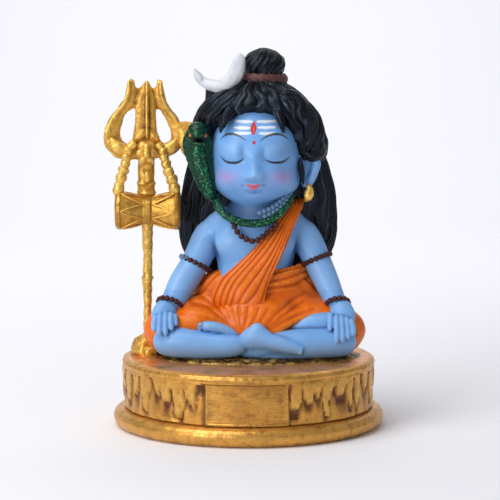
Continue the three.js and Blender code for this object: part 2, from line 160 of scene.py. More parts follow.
def both(make):
    """Makes a thing for the figure's right (-1) and for its left (1)."""
    return [make(-1), make(1)]


def mirrored(s, points):
    """Places given for the figure's left, put on side `s`."""
    return [[s * x, y, z] for x, y, z in points]


# Shapes: corners, faces (a triangle ends in -1) and marks, which are values kept at each corner.


class Shape:
    """A surface with its painted marks, in millimetres on the figure's grid."""

    def __init__(self, corners, faces, marks=None):
        self.corners = corners
        self.faces = faces
        self.marks = marks or {}

    def edges(self):
        following = np.roll(self.faces, -1, axis=1)
        last = self.faces[:, 3] < 0
        following[last, 2] = self.faces[last, 0]
        pairs = np.stack([self.faces, following], -1).reshape(-1, 2)
        return pairs[(pairs >= 0).all(1)]

    def averaged(self, values, times=1):
        """Values at the corners, each spread to its neighbours a number of times."""
        a, b = self.edges().T
        n = len(self.corners)
        count = np.bincount(a, minlength=n) + np.bincount(b, minlength=n)
        columns = values.reshape(n, -1).T
        for _ in range(times):
            sums = [np.bincount(a, col[b], n) + np.bincount(b, col[a], n) for col in columns]
            columns = [total / np.maximum(count, 1) for total in sums]
        return np.stack(columns, -1).reshape(values.shape)

    def relaxed(self, times):
        """Evens out the steps of the grid without shrinking the shape."""
        for _ in range(times):
            self.corners = self.corners + 0.5 * (self.averaged(self.corners) - self.corners)
            self.corners = self.corners - 0.53 * (self.averaged(self.corners) - self.corners)
        return self

    def normals(self):
        c = self.corners
        f = np.where(self.faces < 0, self.faces[:, :1], self.faces)
        across = np.cross(c[f[:, 2]] - c[f[:, 0]], c[f[:, 3]] - c[f[:, 1]])
        total = np.zeros_like(c)
        for k in range(4):
            use = self.faces[:, k] >= 0
            for axis in range(3):
                total[:, axis] += np.bincount(f[use, k], across[use, axis], len(c))
        return total / np.maximum(np.linalg.norm(total, axis=1, keepdims=True), 1e-9)

    def hollows_and_ridges(self, reach, height):
        """Marks hollows and ridges: how far each corner lies below or above its surroundings. The paints
        darken the hollows and lighten the ridges: painted shade and painted highlight on skin, hair, cloth,
        cord and moon; patina and rubbed edges on the gold.
        """
        rise = ((self.corners - self.averaged(self.corners, reach)) * self.normals()).sum(1) / height
        self.marks["hollow"] = np.clip(-rise, 0, 1)
        self.marks["ridge"] = np.clip(rise, 0, 1)
        return self

    def darkened(self, cover):
        """Darkens more places than the hollows, through the mark of the hollows."""
        self.marks["hollow"] = np.maximum(self.marks["hollow"], cover)
        return self

    def moved(self, by):
        self.corners = self.corners + np.asarray(by, float)
        return self


def join(shapes):
    """One shape from several. A mark that a shape lacks is 0 on it."""
    names = {name for shape in shapes for name in shape.marks}
    corners, faces, marks, start = [], [], {name: [] for name in names}, 0
    for shape in shapes:
        corners.append(shape.corners)
        faces.append(np.where(shape.faces < 0, -1, shape.faces + start))
        for name in names:
            wide = next(s.marks[name] for s in shapes if name in s.marks).shape[1:]
            marks[name].append(shape.marks.get(name, np.zeros((len(shape.corners), *wide))))
        start += len(shape.corners)
    marks = {name: np.concatenate(parts) for name, parts in marks.items()}
    return Shape(np.vstack(corners), np.vstack(faces), marks)


def shell(grid, marks=None, poles=None):
    """A closed shape over rows of corners, each row a ring, with a pole past the first and the last row."""
    rows, sides = grid.shape[:2]
    at = np.arange(rows * sides).reshape(rows, sides)
    right = np.roll(at, -1, axis=1)
    quads = np.stack([at[:-1], at[1:], right[1:], right[:-1]], -1).reshape(-1, 4)
    first, last = rows * sides, rows * sides + 1
    none = np.full(sides, -1)
    starts = np.stack([at[0], right[0], np.full(sides, first), none], -1)
    ends = np.stack([right[-1], at[-1], np.full(sides, last), none], -1)
    tips = poles if poles is not None else [grid[0].mean(0), grid[-1].mean(0)]
    corners = np.vstack([grid.reshape(-1, 3), tips])
    kept = {}
    for name, values in (marks or {}).items():
        flat = values.reshape(rows * sides, *values.shape[2:])
        kept[name] = np.concatenate([flat, [values[0].mean(0), values[-1].mean(0)]])
    return Shape(corners, np.vstack([quads, starts, ends]), kept)


def tube(points, widths, depths=None, sides=24, rings=32, facing=(0, -1, 0), blunt=5, relief=None):
    """A closed limb along a curve. `relief(t, angle, places)` gives its surface a height and marks."""
    k = np.arange(1, rings) / rings
    t = 0.35 * k + 0.65 * (0.5 - 0.5 * np.cos(np.pi * k))
    path = spline(points, t)
    end = np.sqrt(1 - np.abs(2 * t - 1) ** blunt)
    wide = profile(widths, t) * end
    deep = profile(depths if depths is not None else widths, t) * end
    _, across, outward = frames(path, facing)
    angle = circle(sides)
    side = across[:, None] * np.cos(angle)[None, :, None]
    front = outward[:, None] * np.sin(angle)[None, :, None]
    places = path[:, None] + side * wide[:, None, None] + front * deep[:, None, None]
    marks = {}
    if relief:
        height, marks = relief(t[:, None] + 0 * angle, angle + 0 * t[:, None], places)
        out = side * deep[:, None, None] + front * wide[:, None, None]
        out = out / np.maximum(np.linalg.norm(out, axis=2, keepdims=True), 1e-9)
        places = places + out * (height * end[:, None])[..., None]
    return shell(places, marks, spline(points, np.array([0.0, 1.0])))


def ellipsoid(centre, radii, sides, rings, relief):
    """A closed egg shape whose `relief(theta, turn, places)` gives a height and marks for its surface."""
    theta = np.arange(1, rings) / rings * np.pi
    turn = circle(sides)
    level, rise = np.sin(theta)[:, None], np.cos(theta)[:, None]
    way = np.stack([level * np.cos(turn), level * np.sin(turn), rise + 0 * turn], -1)
    places = way * radii + np.asarray(centre, float)
    height, marks = relief(theta[:, None] + 0 * turn, turn + 0 * theta[:, None], places)
    places = places + way * height[..., None]
    poles = np.array([[0, 0, radii[2]], [0, 0, -radii[2]]]) + centre
    return shell(places, marks, poles)


# Clay: forms blended on a grid of distances to the surface, negative inside it.


CUBE = np.array([[x, y, z] for x in (0, 1) for y in (0, 1) for z in (0, 1)])
CUBE_EDGES = [(a, b) for a in CUBE for b in CUBE if (b - a).sum() == 1 and (b >= a).all()]


class Clay:
    """A block in which limbs and balls are blended or carved, with edges `soft` millimetres round."""

    far = 6.0

    def __init__(self, low, high, pitch):
        self.low = np.array(low, float)
        self.pitch = pitch
        self.size = np.ceil((np.array(high) - self.low) / pitch).astype(int) + 1
        self.depth = np.full(self.size, self.far)

    def block(self, low, high):
        """The cells between two corners."""
        first = np.clip(np.floor((low - self.low) / self.pitch).astype(int), 0, self.size - 1)
        last = np.clip(np.ceil((high - self.low) / self.pitch).astype(int) + 1, first + 1, self.size)
        return tuple(slice(a, b) for a, b in zip(first, last))

    def places(self, cells):
        axes = [self.low[i] + self.pitch * np.arange(c.start, c.stop) for i, c in enumerate(cells)]
        return np.stack(np.meshgrid(*axes, indexing="ij"), -1)

    def add(self, cells, value, soft, carve):
        sign = -1 if carve else 1
        old = sign * self.depth[cells]
        share = np.clip(0.5 + 0.5 * (value - old) / soft, 0, 1)
        self.depth[cells] = sign * (value + (old - value) * share - soft * share * (1 - share))

    def ball(self, centre, radii, soft=0.8, carve=False):
        centre, radii = np.asarray(centre, float), np.asarray(radii, float)
        margin = radii + soft + 2 * self.pitch
        cells = self.block(centre - margin, centre + margin)
        q = (self.places(cells) - centre) / radii
        self.add(cells, (np.sqrt((q * q).sum(-1)) - 1) * radii.min(), soft, carve)
        return self

    def tube(
        self, points, widths, depths=None, soft=0.8, facing=(0, -1, 0), steps=28, blunt=5, carve=False,
        relief=None,
    ):
        """A limb along a smooth curve. `relief(t, angle)` gives the height of its surface."""
        even = np.linspace(0, 1, steps + 1)
        t = 0.4 * even + 0.6 * (0.5 - 0.5 * np.cos(np.pi * even))
        path = spline(points, t)
        end = np.sqrt(np.clip(1 - np.abs(2 * t - 1) ** blunt, 0.004, 1))
        wide = profile(widths, t) * end
        deep = profile(depths if depths is not None else widths, t) * end
        along, across, outward = frames(path, facing)
        travelled = np.concatenate([[0], np.cumsum(np.linalg.norm(np.diff(path, axis=0), axis=1))])
        margin = max(wide.max(), deep.max()) + soft + 2 * self.pitch
        cells = self.block(path.min(0) - margin, path.max(0) + margin)
        value = np.full([c.stop - c.start for c in cells], self.far)
        for i in range(steps):
            ends = path[i : i + 2]
            local = self.block(ends.min(0) - margin, ends.max(0) + margin)
            q = self.places(local) - ends[0]
            leg = ends[1] - ends[0]
            s = np.clip(q @ leg / (leg @ leg), 0, 1)
            q = q - s[..., None] * leg
            w = wide[i] + s * (wide[i + 1] - wide[i])
            d = deep[i] + s * (deep[i + 1] - deep[i])
            small = np.minimum(w, d)
            spare = np.where(s > 0.5, travelled[-1] - travelled[i + 1], travelled[i])
            a, b, c = q @ across[i] / w, q @ outward[i] / d, q @ along[i] / np.minimum(small, spare + 0.3)
            here = (np.sqrt(a * a + b * b + c * c) - 1) * small
            if relief:
                here = here - relief(t[i] + s * (t[i + 1] - t[i]), np.arctan2(b, a))
            inner = tuple(slice(x.start - y.start, x.stop - y.start) for x, y in zip(local, cells))
            value[inner] = np.minimum(value[inner], here)
        self.add(cells, value, soft, carve)
        return self

    def press(self, relief, reach=2.0):
        """Moves the surface out by what `relief(places)` gives near it."""
        near = np.argwhere(np.abs(self.depth) < reach)
        self.depth[tuple(near.T)] -= relief(self.low + self.pitch * near)
        return self

    def surface(self, relax=2):
        """The clay's skin, one corner in each cell that it passes through."""
        inside = self.depth < 0
        cells = self.size - 1
        whole = [slice(0, n) for n in cells]
        shifts = [tuple(slice(c, c + n) for c, n in zip(corner, cells)) for corner in CUBE]
        count = sum(inside[shift].astype(np.int8) for shift in shifts)
        active = (count > 0) & (count < 8)
        where = np.argwhere(active)
        index = np.full(cells, -1)
        index[active[tuple(whole)]] = np.arange(len(where))
        total, hits = np.zeros((len(where), 3)), np.zeros(len(where))
        for a, b in CUBE_EDGES:
            start, end = self.depth[tuple((where + a).T)], self.depth[tuple((where + b).T)]
            crosses = (start < 0) != (end < 0)
            share = np.where(crosses, start / np.where(crosses, start - end, 1), 0)
            total += crosses[:, None] * (a + share[:, None] * (b - a))
            hits += crosses
        corners = self.low + self.pitch * (where + total / hits[:, None])
        faces = []
        for axis in range(3):
            u, v = (axis + 1) % 3, (axis + 2) % 3
            step_u, step_v = np.eye(3, dtype=int)[u], np.eye(3, dtype=int)[v]
            near = [slice(None)] * 3
            past = [slice(None)] * 3
            near[axis], past[axis] = slice(0, -1), slice(1, None)
            here = inside[tuple(near)]
            edge = np.argwhere(here != inside[tuple(past)])
            fits = (edge[:, u] > 0) & (edge[:, v] > 0) & (edge[:, u] < cells[u]) & (edge[:, v] < cells[v])
            edge = edge[fits]
            corner = [edge - step_u - step_v, edge - step_v, edge, edge - step_u]
            quad = np.stack([index[tuple(c.T)] for c in corner], -1)
            out = here[tuple(edge.T)]
            faces.append(np.where(out[:, None], quad, quad[:, ::-1]))
        return Shape(corners, np.vstack(faces)).relaxed(relax)


# Paints. Every finish is worked out on Object coordinates and on the marks of its piece.


def tint(red, green, blue):
    """A paint colour from its screen values of 0 to 255."""
    shares = [c / 255 for c in (red, green, blue)]
    return tuple(c / 12.92 if c <= 0.04045 else ((c + 0.055) / 1.055) ** 2.4 for c in shares)


class Paint:
    """The nodes of one finish. Its methods add a node and give its output."""

    def __init__(self, name):
        self.material = bpy.data.materials.new(name)
        self.material.use_nodes = True
        self.nodes = self.material.node_tree.nodes
        self.links = self.material.node_tree.links
        self.shader = self.nodes["Principled BSDF"]
        self.places = self.nodes.new("ShaderNodeTexCoord").outputs["Object"]

    def put(self, socket, value):
        if isinstance(value, bpy.types.NodeSocket):
            self.links.new(value, socket)
        elif isinstance(value, (int, float)):
            socket.default_value = value
        else:
            socket.default_value = (*value, 1.0)[:4]

    def noise(self, size, detail=3.0, roughness=0.55, where=None):
        """Noise from 0 to 1 with lumps of about `size`, in millimetres or in the units of `where`."""
        node = self.nodes.new("ShaderNodeTexNoise")
        self.put(node.inputs["Vector"], where or self.places)
        node.inputs["Scale"].default_value = (1.0 if where else 1 / MM) / size
        node.inputs["Detail"].default_value = detail
        node.inputs["Roughness"].default_value = roughness
        return node.outputs["Fac"]

    def cells(self, size):
        node = self.nodes.new("ShaderNodeTexVoronoi")
        self.put(node.inputs["Vector"], self.places)
        node.inputs["Scale"].default_value = 1 / MM / size
        return node.outputs["Distance"]

    def mark(self, name, output="Fac"):
        node = self.nodes.new("ShaderNodeAttribute")
        node.attribute_name = name
        return node.outputs[output]

    def ranged(self, value, low, high, to_low=0.0, to_high=1.0):
        node = self.nodes.new("ShaderNodeMapRange")
        for name, number in zip(("From Min", "From Max", "To Min", "To Max"), (low, high, to_low, to_high)):
            node.inputs[name].default_value = number
        self.put(node.inputs["Value"], value)
        return node.outputs["Result"]

    def product(self, a, b):
        node = self.nodes.new("ShaderNodeMath")
        node.operation = "MULTIPLY"
        self.put(node.inputs[0], a)
        self.put(node.inputs[1], b)
        return node.outputs["Value"]

    def mix(self, share, under, over, blend="MIX"):
        node = self.nodes.new("ShaderNodeMix")
        node.data_type = "RGBA"
        node.blend_type = blend
        self.put(node.inputs["Factor"], share)
        self.put(node.inputs[6], under)
        self.put(node.inputs[7], over)
        return node.outputs[2]

    def bumps(self, heights):
        """Adds small bumps: pairs of a height from 0 to 1 and its full depth in millimetres."""
        normal = None
        for height, depth in heights:
            node = self.nodes.new("ShaderNodeBump")
            node.inputs["Strength"].default_value = 1.0
            node.inputs["Distance"].default_value = depth * MM
            self.put(node.inputs["Height"], height)
            if normal:
                self.put(node.inputs["Normal"], normal)
            normal = node.outputs["Normal"]
        self.put(self.shader.inputs["Normal"], normal)

    def finish(self, colour, roughness, specular=0.5, **plain):
        self.shader.inputs["Specular IOR Level"].default_value = specular
        self.put(self.shader.inputs["Base Color"], colour)
        self.put(self.shader.inputs["Roughness"], roughness)
        for name, value in plain.items():
            self.shader.inputs[name.replace("_", " ").title()].default_value = value
        return self.material


def hollow_and_crest_paint(name, colour, wash, lift, gloss=(0.34, 0.5), bumps=0.02, lift_share=0.5):
    """Brushed paint on resin: patchy colour, darker in the hollows and lighter on the ridges, where a
    brushed wash and rub go together with painted shade and painted highlight.
    """
    paint = Paint(name)
    patches = paint.ranged(paint.noise(5.0, 4.0), 0.35, 0.7, 0.0, 0.25)
    coat = paint.mix(patches, colour, wash)
    # Darker colour in the hollows: wash and painted shade.
    coat = paint.mix(paint.product(paint.mark("hollow"), 0.8), coat, wash)
    uneven = paint.ranged(paint.noise(0.9, 4.0), 0.4, 0.62, 0.2, lift_share)
    # Lighter colour on the ridges: rub and painted highlight.
    coat = paint.mix(paint.product(paint.mark("ridge"), uneven), coat, lift)
    paint.bumps([(paint.noise(1.3, 4.0), bumps * 2), (paint.noise(0.3, 2.0), bumps)])
    roughness = paint.ranged(paint.noise(2.2, 3.0), 0.3, 0.7, *gloss)
    return paint.finish(coat, roughness, specular=0.3)


def skin_paint(name, settings, painted=False):
    """Satin blue paint, with painted shade in the hollows and painted highlight on the ridges. On the face
    the painted features come from the mark `paint`.
    """
    paint = Paint(name)
    base = paint.mark("paint", "Color") if painted else settings.colour
    patches = paint.ranged(paint.noise(7.0, 3.0), 0.35, 0.7, 0.0, 0.16)
    coat = paint.mix(patches, base, settings.shade_and_mottle, "MULTIPLY" if painted else "MIX")
    specks = paint.ranged(paint.noise(0.8, 5.0, 0.7), 0.56, 0.75, 0.0, 0.22)
    coat = paint.mix(specks, coat, settings.highlight_and_specks)
    # Painted shade: darker blue in the hollows.
    coat = paint.mix(paint.product(paint.mark("hollow"), 0.75), coat, settings.shade_and_mottle)
    # Painted highlight: pale blue on the ridges.
    coat = paint.mix(paint.product(paint.mark("ridge"), 0.3), coat, settings.highlight_and_specks)
    paint.bumps([(paint.noise(2.4, 3.0), 0.03), (paint.noise(0.35, 3.0), 0.008)])
    roughness = paint.ranged(paint.noise(1.8, 3.0), 0.3, 0.7, 0.36, 0.5)
    return paint.finish(coat, roughness, specular=0.4, coat_weight=0.1)


def hair_paint(name, settings):
    """Near-black paint, brushed dry with grey along the strands: the grey is both a dry brush and painted
    highlight, and the grooves get painted shade. The mark `comb` runs along them.
    """
    paint = Paint(name)
    strands = paint.noise(1.0, 4.0, 0.6, paint.mark("comb", "Vector"))
    streaks = paint.ranged(strands, 0.42, 0.66, 0.15, 1.0)
    brushed = paint.product(streaks, paint.ranged(paint.mark("ridge"), 0.42, 0.95))
    # Grey on the strand crests: dry brush and painted highlight.
    coat = paint.mix(paint.product(brushed, 0.46), settings.colour, settings.rub)
    # Painted shade: near-black in the grooves.
    coat = paint.mix(paint.product(paint.mark("hollow"), 0.9), coat, tint(4, 4, 6))
    paint.bumps([(strands, 0.16), (paint.noise(0.4, 3.0), 0.015)])
    roughness = paint.ranged(paint.noise(1.6, 3.0), 0.3, 0.7, 0.2, 0.34)
    return paint.finish(coat, roughness, specular=0.3, specular_tint=(0.62, 0.78, 1.0, 1.0))


def gold_paint(
    name, colour, wash, shine, metallic, gloss=(0.3, 0.5), wash_share=0.95, grain=0.05, rub=0.9,
    stain=0.2, glitter=0.0,
):
    """Metallic paint over resin, dark in the hollows and rubbed bright on the ridges."""
    paint = Paint(name)
    patches = paint.ranged(paint.noise(4.5, 5.0, 0.6), 0.4, 0.75, 0.0, 0.35)
    coat = paint.mix(patches, colour, wash)
    coat = paint.mix(paint.product(paint.mark("hollow"), wash_share), coat, wash)
    uneven = paint.ranged(paint.noise(1.0, 5.0), 0.35, 0.6, 0.25 * rub, rub)
    coat = paint.mix(paint.product(paint.mark("ridge"), uneven), coat, shine)
    strokes = paint.ranged(paint.noise(1.0, 4.0, 0.6, paint.mark("comb", "Vector")), 0.45, 0.75, 0.0, 0.32)
    coat = paint.mix(paint.product(paint.mark("brushed"), strokes), coat, wash)
    stains = paint.ranged(paint.noise(1.7, 5.0, 0.65), 0.52, 0.66, 0.0, stain)
    coat = paint.mix(stains, coat, wash)
    # A pale pink tint where the mark `dust` lies, on the top of the base.
    coat = paint.mix(paint.product(paint.mark("dust"), 0.7), coat, tint(255, 176, 122))
    if glitter:
        flakes = paint.ranged(paint.cells(0.55), 0.16, 0.3, glitter, 0.0)
        coat = paint.mix(flakes, coat, shine)
    paint.bumps([(paint.noise(1.6, 5.0, 0.6), grain * 2.5), (paint.noise(0.35, 3.0), grain)])
    roughness = paint.ranged(paint.noise(1.4, 4.0), 0.3, 0.7, *gloss)
    return paint.finish(coat, roughness, metallic=metallic)


def add_piece(name, shape, place, material):
    """Adds a shape to the scene in metres, riding with the casting and standing for its part of it."""
    corners = (shape.corners * STEP + place) * MM
    sizes = np.where(shape.faces[:, 3] < 0, 3, 4)
    mesh = bpy.data.meshes.new(name)
    mesh.vertices.add(len(corners))
    mesh.vertices.foreach_set("co", corners.astype(np.float32).ravel())
    mesh.loops.add(int(sizes.sum()))
    mesh.loops.foreach_set("vertex_index", shape.faces[shape.faces >= 0].astype(np.int32))
    mesh.polygons.add(len(sizes))
    mesh.polygons.foreach_set("loop_start", np.concatenate([[0], np.cumsum(sizes)[:-1]]).astype(np.int32))
    mesh.polygons.foreach_set("use_smooth", np.ones(len(sizes), bool))
    mesh.update(calc_edges=True)
    kinds = {(): ("FLOAT", "value"), (3,): ("FLOAT_VECTOR", "vector"), (4,): ("FLOAT_COLOR", "color")}
    for mark, values in shape.marks.items():
        kind, field = kinds[values.shape[1:]]
        mesh.attributes.new(mark, kind, "POINT").data.foreach_set(field, values.astype(np.float32).ravel())
    mesh.materials.append(material)
    piece = bpy.data.objects.new(name, mesh)
    bpy.context.scene.collection.objects.link(piece)
    return settle(piece)


def settle(piece):
    """Hangs a piece on the root body, which it rides with, and hides the imported solid of the figure."""
    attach(piece, "root")
    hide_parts(NODE)
    return piece


# Bead strings, made with geometry nodes: a path is divided evenly and a knobbly bead set at each place.


BEAD_KNOBS = 0.3
BEAD_SEED = 3
BEAD_INPUTS = (
    ("Path", "NodeSocketGeometry"),
    ("Beads", "NodeSocketInt"),
    ("Radius", "NodeSocketFloat"),
    ("Knobs", "NodeSocketFloat"),
    ("Seed", "NodeSocketInt"),
    ("Paint", "NodeSocketMaterial"),
)


def bead_tree(name):
    """Knobbly beads set evenly on a path, each with a turn of its own."""
    tree = bpy.data.node_groups.new(name, "GeometryNodeTree")
    for label, kind in BEAD_INPUTS:
        tree.interface.new_socket(label, in_out="INPUT", socket_type=kind)
    tree.interface.new_socket("Beads", in_out="OUTPUT", socket_type="NodeSocketGeometry")

    def make(kind, operation=None, **values):
        node = tree.nodes.new(kind)
        if operation:
            node.operation = operation
        for socket, value in values.items():
            node.inputs[socket].default_value = value
        return node

    given, out = make("NodeGroupInput"), make("NodeGroupOutput")
    curve = make("GeometryNodeMeshToCurve")
    points = make("GeometryNodeCurveToPoints")
    bead = make("GeometryNodeMeshIcoSphere", Subdivisions=3)
    knobs = make("ShaderNodeTexNoise", Scale=1.3 / MM, Detail=1.0)
    centred = make("ShaderNodeMath", "SUBTRACT")
    centred.inputs[1].default_value = 0.5
    depth = make("ShaderNodeMath", "MULTIPLY")
    normal = make("GeometryNodeInputNormal")
    push = make("ShaderNodeVectorMath", "SCALE")
    swell = make("GeometryNodeSetPosition")
    place = make("GeometryNodeInstanceOnPoints")
    spin = make("GeometryNodeRotateInstances")
    turns = make("FunctionNodeRandomValue")
    turns.data_type = "FLOAT_VECTOR"
    turns.inputs[1].default_value = (0.0, 0.0, 6.28)
    real = make("GeometryNodeRealizeInstances")
    smooth = make("GeometryNodeSetShadeSmooth")
    dress = make("GeometryNodeSetMaterial")
    for source, output, target, socket in (
        (given, "Path", curve, 0),
        (curve, 0, points, "Curve"),
        (given, "Beads", points, "Count"),
        (given, "Radius", bead, "Radius"),
        (knobs, "Fac", centred, 0),
        (centred, 0, depth, 0),
        (given, "Knobs", depth, 1),
        (normal, 0, push, 0),
        (depth, 0, push, "Scale"),
        (bead, "Mesh", swell, "Geometry"),
        (push, 0, swell, "Offset"),
        (points, "Points", place, "Points"),
        (swell, 0, place, "Instance"),
        (points, "Rotation", place, "Rotation"),
        (given, "Seed", turns, "Seed"),
        (place, 0, spin, "Instances"),
        (turns, 0, spin, "Rotation"),
        (spin, 0, real, 0),
        (real, 0, smooth, "Geometry"),
        (smooth, 0, dress, "Geometry"),
        (given, "Paint", dress, "Material"),
        (dress, 0, out, 0),
    ):
        tree.links.new(source.outputs[output], target.inputs[socket])
    return tree


def bead_string(name, path, place, material, count, radius):
    """Beads along a path given on the grid, in one piece. Sizes are in millimetres."""
    corners = (np.asarray(path) * STEP + place) * MM
    edges = [(i, i + 1) for i in range(len(corners) - 1)]
    mesh = bpy.data.meshes.new(name)
    mesh.from_pydata([tuple(c) for c in corners], edges, [])
    guide = bpy.data.objects.new(name + "_path", mesh)
    bpy.context.scene.collection.objects.link(guide)
    tree = bpy.data.node_groups.get("Bead string") or bead_tree("Bead string")
    modifier = guide.modifiers.new("Beads", "NODES")
    modifier.node_group = tree
    sizes = {
        "Beads": count,
        "Radius": radius * MM,
        "Knobs": BEAD_KNOBS * radius * MM,
        "Seed": BEAD_SEED,
        "Paint": material,
    }
    for socket in tree.interface.items_tree:
        if socket.in_out == "INPUT" and socket.name in sizes:
            modifier[socket.identifier] = sizes[socket.name]
    bpy.context.view_layer.update()
    evaluated = guide.evaluated_get(bpy.context.evaluated_depsgraph_get())
    beads = bpy.data.meshes.new_from_object(evaluated)
    beads.name = name
    if not beads.polygons:
        raise RuntimeError(name + " came out empty")
    piece = bpy.data.objects.new(name, beads)
    bpy.context.scene.collection.objects.link(piece)
    bpy.data.objects.remove(guide)
    return settle(piece)


def ring_path(centre, radii, tilt, steps=40):
    """A round path, begun behind, that `tilt` raises along x and y."""
    turn = np.linspace(0, TURN, steps) - np.pi * 0.72
    x, y = radii[0] * np.cos(turn), radii[1] * np.sin(turn)
    return np.stack([x, y, x * tilt[0] + y * tilt[1]], -1) + centre


NECKLACE = [
    [-5.6, -5.8, 34.2], [-4.2, -5.9, 31.4], [-2.2, -6.2, 29.8],
    [0, -6.4, 29.3], [2.4, -6.8, 30.9], [5.2, -6.9, 33.4],
]
# Name, centre, radii, tilt along X and Y, and the share of the beads that never got their paint.
BEAD_RINGS = (
    ("armlet_right", [-14.8, 1.4, 22.8], [3.55, 3.8], [-0.5, -0.2], 0.3),
    ("armlet_left", [15.3, 1.5, 23.8], [3.55, 3.8], [0.42, -0.2], 0.0),
    ("bracelet_right", [-20.9, -5.2, 13.2], [3.0, 2.7], [-0.3, -0.75], 0.0),
    ("bracelet_left", [20.4, -5.1, 13.4], [2.8, 2.6], [0.12, -0.75], 0.0),
)
# Two short rows of bare beads on the neck, above the cobra.
BARE_ROWS = (
    [[1.2, -7.4, 36.4], [4.0, -6.9, 37.5], [6.4, -5.8, 39.2], [8.2, -4.0, 41.2]],
    [[2.4, -6.9, 35.6], [5.0, -6.3, 36.9], [7.2, -5.2, 38.8], [8.8, -3.4, 40.9]],
)


# The body: trunk, arms, hands, legs and feet.


# Middle line and half widths of each arm, with -1 for the figure's right and 1 for its left.
ARMS = {
    -1: (
        [[-11, 3, 32.6], [-14.1, 1.8, 24.6], [-18.2, -1.8, 17.8], [-21, -5.6, 12.8]],
        [4.1, 3.6, 3.5, 2.8],
    ),
    1: (
        [[11.4, 3, 32.8], [14.9, 1.8, 25], [18.2, -1.6, 18], [20.5, -5.4, 12.8]],
        [4.1, 3.6, 3.1, 2.5],
    ),
}
# For each finger, thumb first: X and Z of its root, then X and Z of its tip.
FINGERS = {
    -1: (
        [-19.7, 11.4, -19.3, 9.1], [-20.7, 11.9, -20.4, 8.0], [-21.9, 12.0, -21.8, 6.7],
        [-23.2, 11.7, -23.3, 6.9], [-24.3, 11.1, -24.7, 7.8],
    ),
    1: (
        [18.5, 11.6, 18.3, 7.8], [20.0, 11.4, 19.9, 4.7], [21.2, 11.3, 21.4, 5.1],
        [22.4, 10.9, 22.8, 5.9], [23.5, 10.3, 24.1, 6.7],
    ),
}
# Heights on the knees and how far forward their skin lies there.
KNEE_FRONT = ([3.5, 6.5, 8.0, 10.0, 11.8, 13.0], [-12.6, -12.4, -11.9, -10.8, -9.4, -8.2])
# Heights over which painted shade darkens the neck under the chin.
NECK_SHADE = (33.4, 35.6)


def trunk_shape():
    """The trunk, neck and arms, with painted shade on the neck under the chin."""
    clay = Clay((-26, -11, 8), (26, 12, 48), pitch=0.44)
    spine = [[0, 3, 12], [0.1, 3, 20], [0.2, 2.8, 28.5], [0.2, 2.4, 36.4]]
    clay.tube(spine, [10, 9.3, 9.9, 7.6], [8, 7.2, 7, 5.4])
    shoulders = [[-13.8, 3, 28.4], [-8, 3, 32], [0.2, 2.6, 33.8], [8.4, 3, 32.2], [14.4, 3, 28.6]]
    clay.tube(shoulders, [2.6, 4.4, 5, 4.4, 2.6], soft=1.6)
    clay.tube([[0, 2, 31], [0, 1.4, 38], [0, 1, 45]], [6.2, 5.7, 5.7], soft=1.6)
    for s in (-1, 1):
        clay.ball([s * 4.7, -2.0, 28.2], [4.4, 2.2, 3.0], soft=2.8)
    clay.ball([0, -2.6, 18.5], [7.6, 3.2, 5.4], soft=3.0)
    for s in (-1, 1):
        points, radii = ARMS[s]
        clay.tube(points, radii, soft=1.1)
    shape = clay.surface().hollows_and_ridges(reach=30, height=0.35)
    x, _, z = shape.corners.T
    # Painted shade on the neck under the chin.
    return shape.darkened(smoothstep(*NECK_SHADE, z) * smoothstep(9.6, 7.4, np.abs(x)))


def hand_shape(s):
    """A hand laid on its knee, from the forearm to the finger tips."""
    fingers = FINGERS[s]
    m = ARMS[s][0][-1][0]
    clay = Clay((m - 6, -14.5, 1), (m + 6, -2, 17), pitch=0.22)
    clay.tube(ARMS[s][0][2:], ARMS[s][1][2:], soft=0.5)
    knuckles = np.mean([f[0] for f in fingers[1:]])
    half_way = (m + knuckles) / 2
    back = [[m, -5.6, 13.6], [half_way, -7.0, 12.6], [knuckles, -8.4, 11.0], [knuckles, -9.2, 9.4]]
    clay.tube(back, [2.3, 2.8, 3.0, 2.9], [2.0, 1.9, 1.6, 1.2], soft=0.9)
    for i, (x0, z0, x1, z1) in enumerate(fingers):
        z = np.linspace(z0, z1, 5)
        x = np.linspace(x0, x1, 5) + 0.15 * s * np.sin(np.linspace(0, np.pi, 5))
        y = np.interp(z, *KNEE_FRONT) + (0.5 if i == 0 else 0.0)
        finger = np.stack([x, y, z], -1)
        widths, depths = [0.8, 0.84, 0.8, 0.74, 0.55], [0.8, 0.85, 0.8, 0.7, 0.5]
        clay.tube(finger, widths, depths, soft=0.16, steps=18, blunt=8)
        clay.ball(finger[1], [0.74, 0.72, 0.7], soft=0.2)
    return clay.surface(relax=1).hollows_and_ridges(reach=14, height=0.2)


